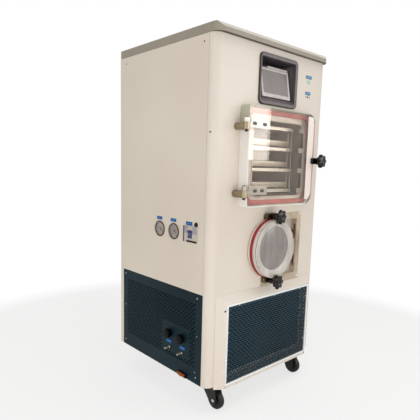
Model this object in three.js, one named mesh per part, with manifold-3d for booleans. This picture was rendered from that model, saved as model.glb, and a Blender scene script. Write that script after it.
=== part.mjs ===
// Upright freeze dryer on casters: a sheet-metal cabinet with a shelved drying chamber behind a clear
// slab door, a round cold trap behind a clear disc, a touch panel, and the cooling machinery below.
// Millimetres. The cabinet is drawn with z = 0 at its underside, x = 0 and y = 0 at its middle, the front
// facing -Y, and the group is then moved so that the floor is z = 0 and the whole is centred.
import * as THREE from "three";
import { mergeVertices } from "three/addons/utils/BufferGeometryUtils.js";
import Module from "manifold-3d";

const wasm = await Module();
wasm.setup();

// ---- driving dimensions ----
const gap = 0.3; // between pieces that touch
const sheet = 2; // folded sheet
const cabinet = { width: 665, depth: 613.5, height: 1300 };
const cornerRadius = 33; // rounded front corners, as deep as the fascia reaches back
const rearWrap = 26; // how far the rear panel wraps round the sides
const returnWidth = 14; // inward fold of each upright panel edge
const returnInset = 30; // where those folds stop short of a panel's ends
const ventHeight = 363; // top of the lower vent panels
const baseLip = 22;

const lid = { height: 32, wall: 3, overhang: 16, frontRadius: 34, rearRadius: 8, chamfer: 9 };
const lowerFrame = { halfWidth: 296, top: 359, bevel: 32, proud: 26, ledge: 12, grilleSetBack: 3 };
const grille = { left: -251, right: 255, bottom: 9, top: 318, slots: 12, slotWidth: 5, slotMargin: 34 };
const ventSlots = { count: 16, width: 5, fromFront: 62, toFront: 563, bottom: 214, top: 300 };

const hmi = { left: -107, right: 125, bottom: 1085, top: 1275, radius: 20, band: 16, proud: 9, deep: 72 };
const touchPanel = { left: -80, right: 92, bottom: 1117, height: 114, thick: 26, tilt: 10, stem: 60 };

const gaugeZ = 586;
const gaugeFromFront = [306, 213];
const gauge = { bezelRadius: 32.5, bodyRadius: 30, dialRadius: 28, bezelDepth: 4, bodyDepth: 34, dialSink: 8, pin: 1.6 };
const breaker = { fromFront: 73, width: 75, bottom: 559, height: 56, proud: 4, deep: 45, drum: 13, tab: 24 };
const valve = { fromFront: [230, 149], z: 160, radius: 19, length: 25, spindle: 4, nozzleZ: 98, nozzle: 26 };
const copperPipe = { fromFront: 114, length: 61, z: 13, radius: 7.5, wall: 1.2 };

const chamber = { left: -150, right: 170, bottom: 731, top: 1026, deep: 380, wall: 3, radius: 14 };
const door = { left: -200, right: 210, bottom: 695, top: 1070, radius: 30, standOff: 12.5, thick: 35 };
const flangeThick = 4;
const chamberGasket = { inset: 2, width: 18 };
const rack = { front: 30, deep: 300, plate: 10, post: 8, levels: [752, 836, 920, 1002], sideSpace: 33 };
const tray = { sideSpace: 46, height: 30, wall: 2 };

const hinge = { pinX: -218, pinFront: 50, postZ: [746, 991], postRadius: 13, pinRadius: 4, eyeHeight: 26 };
const leaf = { right: -92, height: 34, thick: 4, knuckle: 9, knuckleHeight: 16 };
const doorOpens = 110; // degrees, used where the hinge needs room

const latch = { x: 226, z: 878, bossFront: 18, boltRadius: 6, sleeveRadius: 13, armHeight: 26, armThick: 9 };
const starKnob = {
  radius: 25,
  lobe: 4,
  lobes: 7,
  edge: 5,
  hubRadius: 13,
  hubDepth: 9,
  depth: 31,
  crown: 4,
  bore: 20,
};
const clampHead = { ...starKnob, radius: 27, hubDepth: 4, depth: 19, crown: 2, bore: 12 };
const dogThick = 5;

const trap = { x: -10, z: 519, boreRadius: 95, wall: 3, flangeRadius: 119, deep: 300 };
const trapFlangeThick = 2;
const disc = { radius: 118.5, thick: 35, chamfer: 1.5 };
const saddle = { halfWidth: 60, thick: 6, behind: [90, 240] };
const trapGasketWidth = 12;
const surround = { left: -43, right: 208, bottom: 360, top: 659, band: 29, recess: 24 };
const clampOffset = 133; // from the trap's centre up and down to each clamp
const clampBase = { halfWidth: 31, halfHeight: 12, front: 17.7, stud: 5 };

const caster = { frontX: 250, rearX: 140, fromFront: 66, fromRear: 62, height: 115, trail: 38 };
const wheel = { radius: 37.5, width: 26, axleRadius: 5, tread: 4 };
const fork = { plateX: 34, plateY: 32, plateThick: 4, headRadius: 26, crown: 15, cheek: 4, side: 1.5 };
const deckThick = 3;

// ---- derived planes ----
const half = { x: cabinet.width / 2, y: cabinet.depth / 2 };
const left = -half.x;
const right = half.x;
const front = -half.y;
const rear = half.y;
const H = cabinet.height;
const sideFront = front + cornerRadius + gap; // where the side panels start
const sideRear = rear - rearWrap - gap;
const doorBack = door.standOff;
const doorFront = door.standOff + door.thick;
const discFront = door.standOff + disc.thick;
const ahead = (distance) => front - distance; // y of a plane in front of the cabinet's face

// ---- solids ----
const { Manifold, Mesh: SolidMesh } = wasm;

function solid(geometry) {
  geometry.deleteAttribute("normal");
  geometry.deleteAttribute("uv");
  const merged = mergeVertices(geometry, 1e-4);
  return new Manifold(
    new SolidMesh({
      numProp: 3,
      vertProperties: new Float32Array(merged.attributes.position.array),
      triVerts: new Uint32Array(merged.index.array),
    }),
  );
}

const cut = (body, ...tools) => tools.reduce((a, b) => a.subtract(b), body);
const join = (...bodies) => bodies.reduce((a, b) => a.add(b));

function box(x0, x1, y0, y1, z0, z1) {
  const g = new THREE.BoxGeometry(x1 - x0, y1 - y0, z1 - z0);
  g.translate((x0 + x1) / 2, (y0 + y1) / 2, (z0 + z1) / 2);
  return solid(g);
}

// A shape drawn in (x, y), standing from z0 to z1.
function upright(shape, z0, z1) {
  const g = new THREE.ExtrudeGeometry(shape, { depth: z1 - z0, bevelEnabled: false });
  return solid(g.translate(0, 0, z0));
}

// A shape drawn in (x, z), reaching from y0 back to y1.
function facing(shape, y0, y1) {
  const g = new THREE.ExtrudeGeometry(shape, { depth: y1 - y0, bevelEnabled: false });
  return solid(g.rotateX(Math.PI / 2).translate(0, y1, 0));
}

// A shape drawn in (y, z), reaching from x0 to x1.
function sideways(shape, x0, x1) {
  const g = new THREE.ExtrudeGeometry(shape, { depth: x1 - x0, bevelEnabled: false });
  return solid(g.rotateX(Math.PI / 2).rotateZ(Math.PI / 2).translate(x0, 0, 0));
}

// A profile of [radius, distance along the axis] points, turned about an axis through `at`.
function turned(profile, axis, at, segments = 32) {
  const points = profile.map(([r, d]) => new THREE.Vector2(r, d));
  const area = points.reduce((sum, p, i) => sum + p.cross(points[(i + 1) % points.length]), 0);
  if (area < 0) points.reverse();
  const closed = points[0].x > 0 || points[points.length - 1].x > 0;
  if (closed) points.push(points[0].clone());
  const g = new THREE.LatheGeometry(points, segments);
  if (axis === "x") g.rotateZ(-Math.PI / 2);
  if (axis === "z") g.rotateX(Math.PI / 2);
  return solid(g.translate(...at));
}

// A plain rod along an axis, from one coordinate to another on that axis.
function rod(axis, radius, from, to, at, segments = 24) {
  const centre = [...at];
  centre["xyz".indexOf(axis)] = 0;
  return turned([[0, from], [radius, from], [radius, to], [0, to]], axis, centre, segments);
}

// Corner radii run anticlockwise from the lower left; a corner of radius 0 stays sharp.
function roundRect(x0, x1, z0, z1, ...radii) {
  const [bl, br = bl, tr = bl, tl = bl] = radii;
  const corner = (x, z, r, sx, sz, start) => {
    if (r <= 0) return [[x, z]];
    const steps = r > 12 ? 7 : 4;
    return Array.from({ length: steps + 1 }, (_, i) => {
      const a = start + (i / steps) * (Math.PI / 2);
      return [x + sx * r + r * Math.cos(a), z + sz * r + r * Math.sin(a)];
    });
  };
  return polygon([
    ...corner(x0, z0, bl, 1, 1, Math.PI),
    ...corner(x1, z0, br, -1, 1, 1.5 * Math.PI),
    ...corner(x1, z1, tr, -1, -1, 0),
    ...corner(x0, z1, tl, 1, -1, Math.PI / 2),
  ]);
}

function polygon(points) {
  return new THREE.Shape(points.map(([x, y]) => new THREE.Vector2(x, y)));
}

const root = new THREE.Group();

function piece(name, body, colour, roughness, metalness) {
  const mesh = body.getMesh();
  const g = new THREE.BufferGeometry();
  g.setAttribute("position", new THREE.BufferAttribute(mesh.vertProperties, 3));
  g.setIndex(new THREE.BufferAttribute(mesh.triVerts, 1));
  g.computeVertexNormals();
  const material = new THREE.MeshStandardMaterial({ color: colour, roughness, metalness });
  const part = new THREE.Mesh(g, material);
  part.name = name;
  root.add(part);
}

const finishes = {
  cream: [0xe2d8cc, 0.35, 0.1],
  lid: [0xaca296, 0.45, 0.1],
  teal: [0x233744, 0.5, 0.2],
  steel: [0xb9b5ae, 0.35, 0.9],
  chrome: [0xc9c9c6, 0.15, 1],
  zinc: [0x9ea1a2, 0.5, 0.8],
  acrylic: [0xe4e6e2, 0.1, 0],
  silicone: [0xa5282d, 0.6, 0],
  black: [0x1b1a19, 0.45, 0],
  dark: [0x50484c, 0.5, 0],
  panel: [0xc9c4c2, 0.4, 0],
  copper: [0xb0673a, 0.35, 1],
};

// ---- openings shared by the fascia and what passes through it ----
const chamberShellOutline = (grow) =>
  roundRect(
    chamber.left - chamber.wall - grow,
    chamber.right + chamber.wall + grow,
    chamber.bottom - chamber.wall - grow,
    chamber.top + chamber.wall + grow,
    chamber.radius + chamber.wall + grow,
  );
const recessOutline = (grow) =>
  roundRect(
    surround.left + surround.band - grow,
    surround.right - surround.band + grow,
    surround.bottom + surround.band - grow,
    surround.top - surround.band + grow,
    5 + grow,
  );
const hmiPocketOutline = (grow) =>
  roundRect(
    hmi.left + hmi.band - grow,
    hmi.right - hmi.band + grow,
    hmi.bottom + hmi.band - grow,
    hmi.top - hmi.band + grow,
    hmi.radius / 2 + grow,
  );
const neckRadius = trap.boreRadius + trap.wall;
const neck = (grow, y0, y1) => rod("y", neckRadius + grow, y0, y1, [trap.x, 0, trap.z], 36);

// ---- cabinet shell ----
function frontFascia() {
  const outer = roundRect(left, right, front, front + cornerRadius, cornerRadius, cornerRadius, 0, 0);
  const innerEnd = front + cornerRadius + 1;
  const r = cornerRadius - sheet;
  const inner = roundRect(left + sheet, right - sheet, front + sheet, innerEnd, r, r, 0, 0);
  const top = H - gap;
  const returnY = front + cornerRadius;
  const fold = (x0, x1) => box(x0, x1, returnY - sheet, returnY, returnInset, top - returnInset);
  const shell = join(
    cut(upright(outer, 0, top), upright(inner, -1, top + 1)),
    fold(left + sheet / 2, left + returnWidth),
    fold(right - returnWidth, right - sheet / 2),
  );
  const through = [front - 1, front + sheet + 1];
  return cut(
    shell,
    facing(hmiPocketOutline(sheet + 1 + gap), ...through),
    facing(chamberShellOutline(gap), ...through),
    facing(recessOutline(sheet + gap), ...through),
    neck(gap, ...through),
    box(
      grille.left + lowerFrame.ledge + 4,
      grille.right - lowerFrame.ledge - 4,
      ...through,
      baseLip + 14,
      grille.top - lowerFrame.ledge - 4,
    ),
  );
}

// A flat upright side sheet with folded front and rear edges, on the side where x has this sign.
function sidePanel(sign, z0, z1) {
  const face = sign * half.x;
  const across = (a, b) => [a, b].map((v) => face - sign * v).sort((p, q) => p - q);
  const low = z0 + returnInset;
  const high = z1 - returnInset;
  return join(
    box(...across(0, sheet), sideFront, sideRear, z0, z1),
    box(...across(sheet / 2, returnWidth), sideFront, sideFront + sheet, low, high),
    box(...across(sheet / 2, returnWidth), sideRear - sheet, sideRear, low, high),
  );
}

function leftPanel() {
  const through = [left - 1, left + returnWidth + 1];
  const gaugeHole = (d) => rod("x", gauge.bodyRadius + gap, ...through, [0, front + d, gaugeZ], 32);
  const y0 = front + breaker.fromFront;
  const window = box(
    ...through,
    y0 - gap,
    y0 + breaker.width + gap,
    breaker.bottom - gap,
    breaker.bottom + breaker.height + gap,
  );
  return cut(sidePanel(-1, ventHeight + gap / 2, H - gap), ...gaugeFromFront.map(gaugeHole), window);
}

function leftVentPanel() {
  const through = [left - 1, left + sheet + 1];
  const span = ventSlots.toFront - ventSlots.fromFront;
  const pitch = span / ventSlots.count;
  const slots = Array.from({ length: ventSlots.count }, (_, i) => {
    const y = front + ventSlots.fromFront + (i + 0.5) * pitch;
    return box(...through, y - ventSlots.width / 2, y + ventSlots.width / 2, ventSlots.bottom, ventSlots.top);
  });
  const holes = valve.fromFront.flatMap((d) => [
    rod("x", valve.spindle + gap, ...through, [0, front + d, valve.z], 16),
    rod("x", valve.spindle + gap, ...through, [0, front + d, valve.nozzleZ], 16),
  ]);
  return cut(sidePanel(-1, 0, ventHeight - gap / 2), ...slots, ...holes, copperHole());
}

function rearPanel() {
  const y0 = rear - rearWrap;
  const top = H - gap;
  const r = 4;
  const outer = roundRect(left, right, y0, rear, 0, 0, r, r);
  const inner = roundRect(left + sheet, right - sheet, y0 - 1, rear - sheet, 0, 0, r - sheet, r - sheet);
  const fold = (x0, x1) => box(x0, x1, y0, y0 + sheet, returnInset, top - returnInset);
  return join(
    cut(upright(outer, 0, top), upright(inner, -1, top + 1)),
    fold(left + sheet / 2, left + returnWidth),
    fold(right - returnWidth, right - sheet / 2),
  );
}

// The plan of what stands inside the cabinet's sheets, `inset` in from their inner faces.
function insidePlan(inset) {
  const i = sheet + gap + inset;
  const r = cornerRadius - i;
  return roundRect(left + i, right - i, front + i, rear - i, r, r, 3, 3);
}

const copperExit = front + copperPipe.fromFront + copperPipe.length - copperPipe.radius;
const copperHole = () =>
  rod("x", copperPipe.radius + gap, left - 1, left + 12, [0, copperExit, copperPipe.z], 20);

function baseTray() {
  const boss = (x, y) => rod("z", 9, sheet / 2, 10, [x, y, 0], 12);
  const tray = cut(upright(insidePlan(0), 0, baseLip), upright(insidePlan(sheet), sheet, baseLip + 1));
  return cut(join(tray, ...casterSites.map(([x, y]) => boss(x, y))), copperHole());
}

function machineDeck() {
  const level = [ventHeight - deckThick / 2, ventHeight + deckThick / 2];
  const reach = returnWidth + gap;
  const notch = (x0, x1) => [
    box(x0, x1, front + cornerRadius - sheet - gap, sideFront + sheet + gap, level[0] - 1, level[1] + 1),
    box(x0, x1, sideRear - sheet - gap, rear - rearWrap + sheet + gap, level[0] - 1, level[1] + 1),
  ];
  return cut(upright(insidePlan(0), ...level), ...notch(left, left + reach), ...notch(right - reach, right));
}

function lidCover() {
  const r = lid.frontRadius;
  const plan = roundRect(left, right, front - lid.overhang, rear, r, r, lid.rearRadius, lid.rearRadius);
  const top = H + lid.height;
  const w = lid.wall;
  const inner = [r - w, r - w, lid.rearRadius - w, lid.rearRadius - w];
  const hollow = roundRect(left + w, right - w, front + w, rear - w, ...inner);
  const nose = front - lid.overhang;
  const c = lid.chamfer;
  const bevel = polygon([[nose - 1, top - c - 1], [nose + c + 1, top + 1], [nose - 1, top + 1]]);
  return cut(upright(plan, H, top), upright(hollow, H - 1, top - w), sideways(bevel, left - 1, right + 1));
}

function lowerFrontFrame() {
  const { halfWidth: w, top, bevel, proud, ledge, grilleSetBack } = lowerFrame;
  const back = ahead(gap);
  const face = ahead(proud);
  const plan = upright(polygon([[-w, back], [-w + bevel, face], [w - bevel, face], [w, back]]), 0, top);
  const side = sideways(polygon([[back, 0], [back, top], [face, top - bevel], [face, 0]]), -w, w);
  const seat = ahead(proud - grilleSetBack - sheet - 2 * gap);
  const open = (grow, y0, y1) =>
    box(grille.left - grow, grille.right + grow, y0, y1, grille.bottom - grow, grille.top + grow);
  return cut(plan.intersect(side), open(gap, face - 1, seat), open(-ledge, seat - 1, back + 1));
}

function frontGrille() {
  const y1 = ahead(lowerFrame.proud - lowerFrame.grilleSetBack - sheet - gap);
  const y0 = y1 - sheet;
  const plate = box(grille.left, grille.right, y0, y1, grille.bottom, grille.top);
  const pitch = (grille.right - grille.left - 2 * grille.slotMargin) / grille.slots;
  const slots = Array.from({ length: grille.slots }, (_, i) => {
    const x = grille.left + grille.slotMargin + (i + 0.5) * pitch;
    return box(
      x - grille.slotWidth / 2,
      x + grille.slotWidth / 2,
      y0 - 1,
      y1 + 1,
      grille.bottom + grille.slotMargin,
      grille.top - grille.slotMargin,
    );
  });
  return cut(plate, ...slots);
}

// ---- touch panel in its pocket ----
function hmiBezel() {
  const outer = roundRect(hmi.left, hmi.right, hmi.bottom, hmi.top, hmi.radius);
  const y1 = front + hmi.deep;
  return cut(
    join(facing(outer, ahead(hmi.proud), ahead(gap)), facing(hmiPocketOutline(sheet + 1), front - 1, y1)),
    facing(hmiPocketOutline(0), ahead(hmi.proud) - 1, y1 - sheet),
  );
}

function hmiUnit() {
  const { left: x0, right: x1, height, thick, tilt, bottom, stem } = touchPanel;
  const border = 13;
  const glassDrop = 1.2;
  const mid = (x0 + x1) / 2;
  const body = cut(
    facing(roundRect(x0, x1, 0, height, 5), 0, thick),
    box(x0 + border, x1 - border, -1, glassDrop, border, height - border),
  );
  const placed = body.rotate([-tilt, 0, 0]).translate([0, front, bottom]);
  const backPlane = front + hmi.deep - sheet - gap;
  const arm = box(mid - stem / 2, mid + stem / 2, front + thick + 4, backPlane, bottom + 40, bottom + 74);
  return join(placed, arm);
}

// ---- left side fittings ----
function gaugeCase(d) {
  const y = front + d;
  const face = left - gap - gauge.bezelDepth;
  const profile = [
    [0, face + gauge.dialSink],
    [gauge.dialRadius, face + gauge.dialSink],
    [gauge.dialRadius, face],
    [gauge.bezelRadius - 1.5, face],
    [gauge.bezelRadius, face + 1.5],
    [gauge.bezelRadius, left - gap],
    [gauge.bodyRadius, left - gap],
    [gauge.bodyRadius, left + gauge.bodyDepth],
    [6, left + gauge.bodyDepth],
    [6, left + gauge.bodyDepth + 16],
    [0, left + gauge.bodyDepth + 16],
  ];
  const pin = rod("x", gauge.pin, face + 2, face + gauge.dialSink + 1, [0, y, gaugeZ], 12);
  return join(turned(profile, "x", [0, y, gaugeZ], 28), pin);
}

function gaugePointer(d) {
  const x0 = left - gauge.bezelDepth + gauge.dialSink - 2.4;
  const lowStop = -45; // degrees, the scale's zero
  const width = 2.4;
  const blade = new THREE.Shape([
    new THREE.Vector2(-7, -width),
    new THREE.Vector2(22, -0.5),
    new THREE.Vector2(22, 0.5),
    new THREE.Vector2(-7, width),
  ]);
  const hub = rod("x", 4, x0, x0 + 1.4, [0, 0, 0], 20);
  const arm = sideways(blade, x0, x0 + 1.4);
  const hole = rod("x", gauge.pin + gap, x0 - 1, x0 + 3, [0, 0, 0], 12);
  return cut(join(hub, arm), hole)
    .rotate([lowStop, 0, 0])
    .translate([0, front + d, gaugeZ]);
}

const breakerTop = breaker.bottom + breaker.height;
const breakerPivot = {
  x: left + 7,
  y: front + breaker.fromFront + breaker.width / 2,
  z: breaker.bottom + breaker.height / 2,
};
const toggleLength = 20;

function breakerBody() {
  const y0 = front + breaker.fromFront;
  const y1 = y0 + breaker.width;
  const body = join(
    box(left - breaker.proud, left + breaker.deep, y0, y1, breaker.bottom, breakerTop),
    box(left - breaker.proud, left - gap, y0 - 3, y1 + 3, breaker.bottom - 3, breakerTop + 3),
  );
  const { x, y, z } = breakerPivot;
  const reach = toggleLength / 2 + gap;
  const well = rod("y", breaker.drum + gap, y - reach, y + reach, [x, 0, z], 36);
  const mouth = box(left - breaker.proud - 1, x - breaker.drum * 0.7, y - reach, y + reach, z - 9.4, z + 9.4);
  return cut(body, well, mouth);
}

function breakerToggle() {
  const { x, y, z } = breakerPivot;
  const drum = rod("y", breaker.drum, y - toggleLength / 2, y + toggleLength / 2, [0, 0, 0], 36);
  const tab = box(-breaker.tab, -breaker.drum + 3, y - toggleLength / 2, y + toggleLength / 2, -2, 2);
  return join(drum, tab).rotate([0, 28, 0]).translate([x, 0, z]);
}

function valveKnob(d) {
  const x0 = left - gap - valve.length;
  const profile = [
    [0, x0],
    [valve.radius - 2, x0],
    [valve.radius, x0 + 2],
    [valve.radius, left - 6],
    [valve.radius - 4, left - 2],
    [valve.radius - 4, left - gap],
    [valve.spindle, left - gap],
    [valve.spindle, left + 30],
    [0, left + 30],
  ];
  const flutes = Array.from({ length: 8 }, (_, i) => {
    const a = (i * Math.PI) / 4;
    const c = valve.radius + 1.5;
    return rod("x", 3.4, x0 - 1, left - 7, [0, c * Math.cos(a), c * Math.sin(a)], 6);
  });
  return cut(turned(profile, "x", [0, 0, 0], 24), ...flutes).translate([0, front + d, valve.z]);
}

function drainNozzle(d) {
  const x0 = left - valve.nozzle;
  const r = valve.spindle;
  const profile = [
    [2.2, x0],
    [r - 0.8, x0],
    [r, x0 + 4],
    [r - 0.8, x0 + 4],
    [r, x0 + 8],
    [r - 0.8, x0 + 8],
    [r - 0.8, left - 6],
    [r + 3, left - 6],
    [r + 3, left - gap],
    [r, left - gap],
    [r, left + 24],
    [2.2, left + 24],
  ];
  return turned(profile, "x", [0, front + d, valve.nozzleZ], 14);
}

function copperStub() {
  const { fromFront, length, z, radius, wall } = copperPipe;
  const y0 = front + fromFront;
  const y1 = y0 + length - radius;
  const x = left - gap - radius;
  const run = (r, extra) =>
    join(rod("y", r, y0 - extra, y1, [x, 0, z], 14), rod("x", r, x, left + 20 + extra, [0, y1, z], 14));
  const elbow = solid(new THREE.SphereGeometry(radius, 14, 8).rotateX(Math.PI / 2).translate(x, y1, z));
  return cut(join(run(radius, 0), elbow), run(radius - wall, 1));
}

// ---- drying chamber ----
const doorOutline = (inset) =>
  roundRect(
    door.left + inset,
    door.right - inset,
    door.bottom + inset,
    door.top - inset,
    Math.max(door.radius - inset, 6),
  );

function chamberShell() {
  const y1 = front + chamber.deep;
  return cut(
    join(
      facing(doorOutline(chamberGasket.inset), ahead(flangeThick), ahead(gap)),
      facing(chamberShellOutline(0), front - 1, y1),
    ),
    facing(chamberShellOutline(-chamber.wall), ahead(flangeThick) - 1, y1 - chamber.wall),
  );
}

function gasketRing() {
  const { inset, width } = chamberGasket;
  const y = [ahead(doorBack - gap), ahead(flangeThick + gap)];
  return cut(facing(doorOutline(inset), ...y), facing(doorOutline(inset + width), y[0] - 1, y[1] + 1));
}

function chamberDoor() {
  return facing(doorOutline(0), ahead(doorFront), ahead(doorBack));
}

const rackSpan = [chamber.left + rack.sideSpace, chamber.right - rack.sideSpace];

function shelfRack() {
  const y0 = front + rack.front;
  const y1 = y0 + rack.deep;
  const p = rack.post;
  const [x0, x1] = rackSpan;
  const plates = rack.levels.map((z) => box(x0, x1, y0, y1, z - rack.plate / 2, z + rack.plate / 2));
  const postAt = (x, y) => box(x, x + p, y, y + p, chamber.bottom + gap, chamber.top - 6);
  const posts = [
    postAt(x0 - p + 1, y0 + 6),
    postAt(x1 - 1, y0 + 6),
    postAt(x0 - p + 1, y1 - p - 6),
    postAt(x1 - 1, y1 - p - 6),
  ];
  return join(...plates, ...posts);
}

function foodTray(level) {
  const z0 = rack.levels[level] + rack.plate / 2 + gap;
  const y0 = front + rack.front + 4;
  const y1 = y0 + rack.deep - 8;
  const x0 = chamber.left + tray.sideSpace;
  const x1 = chamber.right - tray.sideSpace;
  const w = tray.wall;
  return cut(
    box(x0, x1, y0, y1, z0, z0 + tray.height),
    box(x0 + w, x1 - w, y0 + w, y1 - w, z0 + w, z0 + tray.height + 1),
  );
}

// ---- chamber door hinges ----
const pinAt = (z) => [hinge.pinX, ahead(hinge.pinFront), z];

function hingePost(z) {
  const [x, y] = pinAt(z);
  const r = hinge.postRadius;
  const eye = rod("z", r, z - r, z + r, [x, y, 0], 20);
  const bar = rod("y", r - 1, y, ahead(gap), [x, 0, z], 20);
  const foot = rod("y", r + 4, ahead(5), ahead(gap), [x, 0, z], 20);
  return cut(join(eye, bar, foot), rod("z", hinge.pinRadius + gap, z - r - 1, z + r + 1, [x, y, 0], 12));
}

function hingePin(z) {
  const [x, y] = pinAt(z);
  const r = hinge.postRadius;
  const low = z - r - gap;
  const high = z + r + gap + leaf.knuckleHeight + gap;
  const p = hinge.pinRadius;
  const profile = [
    [0, low - 8],
    [4, low - 7],
    [6, low - 4],
    [5.5, low],
    [p, low],
    [p, high],
    [6, high],
    [6, high + 3],
    [0, high + 3],
  ];
  return turned(profile, "z", [x, y, 0], 12);
}

function hingeLeaf(z) {
  const [x, y] = pinAt(z);
  const z0 = z + hinge.postRadius + gap;
  const z1 = z0 + leaf.knuckleHeight;
  const plateBack = ahead(doorFront + gap);
  const plateFront = plateBack - leaf.thick;
  const plate = facing(roundRect(door.left - 1, leaf.right, z1 - leaf.height, z1, 3), plateFront, plateBack);
  const knuckle = rod("z", leaf.knuckle, z0, z1, [x, y, 0], 16);
  const neckBox = box(x, door.left + 4, plateFront, plateBack, z0, z1);
  return cut(join(plate, knuckle, neckBox), rod("z", hinge.pinRadius + gap, z0 - 1, z1 + 1, [x, y, 0], 12));
}

// ---- star knobs, chamber latch and trap clamps ----
// A lobed head on a short hub, bored to `bore` deep, its back at `back` ahead of the cabinet's face.
function starHead(back, x, z, boreRadius, bore, head = starKnob) {
  const { radius, lobe, lobes, edge, hubDepth, depth, hubRadius, crown } = head;
  const points = Array.from({ length: lobes * 4 }, (_, i) => {
    const a = (i / (lobes * 4)) * 2 * Math.PI;
    const r = radius + lobe * Math.cos(lobes * a);
    return new THREE.Vector2(r * Math.cos(a), r * Math.sin(a));
  });
  const g = new THREE.ExtrudeGeometry(new THREE.Shape(points), {
    depth: depth - hubDepth - 2 * edge,
    bevelThickness: edge,
    bevelSize: edge,
    bevelOffset: -edge,
    bevelSegments: 2,
  });
  const star = solid(g.rotateX(Math.PI / 2)).translate([x, ahead(back + hubDepth + edge), z]);
  const face = ahead(back + depth);
  const profile = [
    [0, face - crown],
    [hubRadius - 5, face - crown + 1],
    [hubRadius, face + 1],
    [hubRadius, ahead(back)],
    [0, ahead(back)],
  ];
  const hub = turned(profile, "y", [x, 0, z], 16);
  const hole = rod("y", boreRadius, ahead(back + bore), ahead(back) + 1, [x, 0, z], 12);
  return cut(join(star, hub), hole);
}

const armBack = doorFront + gap;
const armFront = armBack + latch.armThick;
const knobBack = armFront + gap;
const dogBack = discFront + gap;
const clampKnobBack = dogBack + dogThick + gap;

function latchBoss() {
  const { x, z, bossFront, boltRadius } = latch;
  const plate = facing(roundRect(x - 11, x + 11, z - 17, z + 17, 4), ahead(6), ahead(gap));
  const barrel = rod("y", 11.5, ahead(bossFront), ahead(1), [x, 0, z], 16);
  const thread = rod("y", boltRadius + gap, ahead(bossFront + 1), ahead(4), [x, 0, z], 12);
  return cut(join(plate, barrel), thread);
}

function latchArm() {
  const { x, z, bossFront, boltRadius, sleeveRadius, armHeight } = latch;
  const h = armHeight / 2;
  const arm = facing(roundRect(x - 38, x + sleeveRadius, z - h, z + h, 6), ahead(armFront), ahead(armBack));
  const sleeve = rod("y", sleeveRadius, ahead(armBack + 1), ahead(bossFront + gap), [x, 0, z], 20);
  return cut(join(arm, sleeve), rod("y", boltRadius + gap, ahead(armFront + 1), front, [x, 0, z], 12));
}

function latchKnob() {
  const { x, z, bossFront, boltRadius } = latch;
  const head = starHead(knobBack, x, z, boltRadius, 1);
  return join(head, rod("y", boltRadius, ahead(knobBack + 4), ahead(bossFront + gap), [x, 0, z], 12));
}

function clampPost(sign) {
  const z = trap.z + sign * clampOffset;
  const { halfWidth: w, halfHeight: h, front: face, stud } = clampBase;
  const back = sheet + 2 * gap;
  const block = facing(roundRect(trap.x - w, trap.x + w, z - h, z + h, 3), ahead(face), ahead(back));
  const lug = (side) => rod("y", 6, ahead(face + 4), ahead(face - 1), [trap.x + side * 21, 0, z], 6);
  const lugs = [-1, 1].map(lug);
  const tip = clampKnobBack + clampHead.bore - gap;
  const shaft = rod("y", stud, ahead(tip), ahead(face - 1), [trap.x, 0, z], 12);
  return join(block, shaft, ...lugs);
}

function clampDog(sign) {
  const z = trap.z + sign * clampOffset;
  const r = latch.sleeveRadius;
  const bore = clampBase.stud + gap;
  const reach = z - sign * (clampOffset - disc.radius + 14);
  const y = [ahead(dogBack + dogThick), ahead(dogBack)];
  const ends = [reach, z + sign * r].sort((a, b) => a - b);
  const lip = facing(roundRect(trap.x - r, trap.x + r, ...ends, 6), ...y);
  const sleeve = rod("y", r, ahead(dogBack + 1), ahead(clampBase.front + gap), [trap.x, 0, z], 20);
  return cut(join(lip, sleeve), rod("y", bore, y[0] - 1, front, [trap.x, 0, z], 12));
}

function clampKnob(sign) {
  const z = trap.z + sign * clampOffset;
  return starHead(clampKnobBack, trap.x, z, clampBase.stud + gap, clampHead.bore, clampHead);
}

// ---- cold trap ----
function trapSurround() {
  const { left: x0, right: x1, bottom, top, recess } = surround;
  const back = front + recess;
  return cut(
    join(
      facing(roundRect(x0, x1, bottom, top, 4), ahead(gap + sheet), ahead(gap)),
      facing(recessOutline(sheet), front - 1, back),
    ),
    facing(recessOutline(0), ahead(gap + sheet) - 1, back - sheet),
    neck(gap, front - 10, back + 1),
  );
}

const flangeBack = sheet + 2 * gap;
const flangeFront = flangeBack + trapFlangeThick;

function trapVessel() {
  const end = front + trap.deep;
  const { boreRadius: r, wall, flangeRadius } = trap;
  const profile = [
    [r, ahead(flangeFront)],
    [flangeRadius, ahead(flangeFront)],
    [flangeRadius, ahead(flangeBack)],
    [r + wall, ahead(flangeBack)],
    [r + wall, end],
    [0, end],
    [0, end - wall],
    [r, end - wall],
  ];
  const body = turnedOpen(profile, [trap.x, 0, trap.z]);
  const seat = ventHeight + deckThick / 2 + gap;
  const w = saddle.halfWidth;
  const arches = saddle.behind.map((distance) => {
    const y = front + distance;
    const plate = box(trap.x - w, trap.x + w, y, y + saddle.thick, seat, trap.z - r / 2);
    return cut(plate, neck(-wall / 2, y - 1, y + saddle.thick + 1));
  });
  return join(body, ...arches);
}

// A cup profile that starts on its bore and ends on its axis inside, turned about the y axis.
function turnedOpen(profile, at) {
  return turned(profile, "y", at, 36);
}

function trapGasket() {
  const outer = trap.flangeRadius;
  const inner = outer - trapGasketWidth;
  const y0 = ahead(door.standOff - gap);
  const y1 = ahead(flangeFront + gap);
  return turned([[inner, y0], [outer, y0], [outer, y1], [inner, y1]], "y", [trap.x, 0, trap.z], 36);
}

function trapDisc() {
  const r = disc.radius;
  const y0 = ahead(discFront);
  const y1 = ahead(door.standOff);
  const c = disc.chamfer;
  return turned([[0, y0], [r - c, y0], [r, y0 + c], [r, y1], [0, y1]], "y", [trap.x, 0, trap.z], 36);
}

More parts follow.
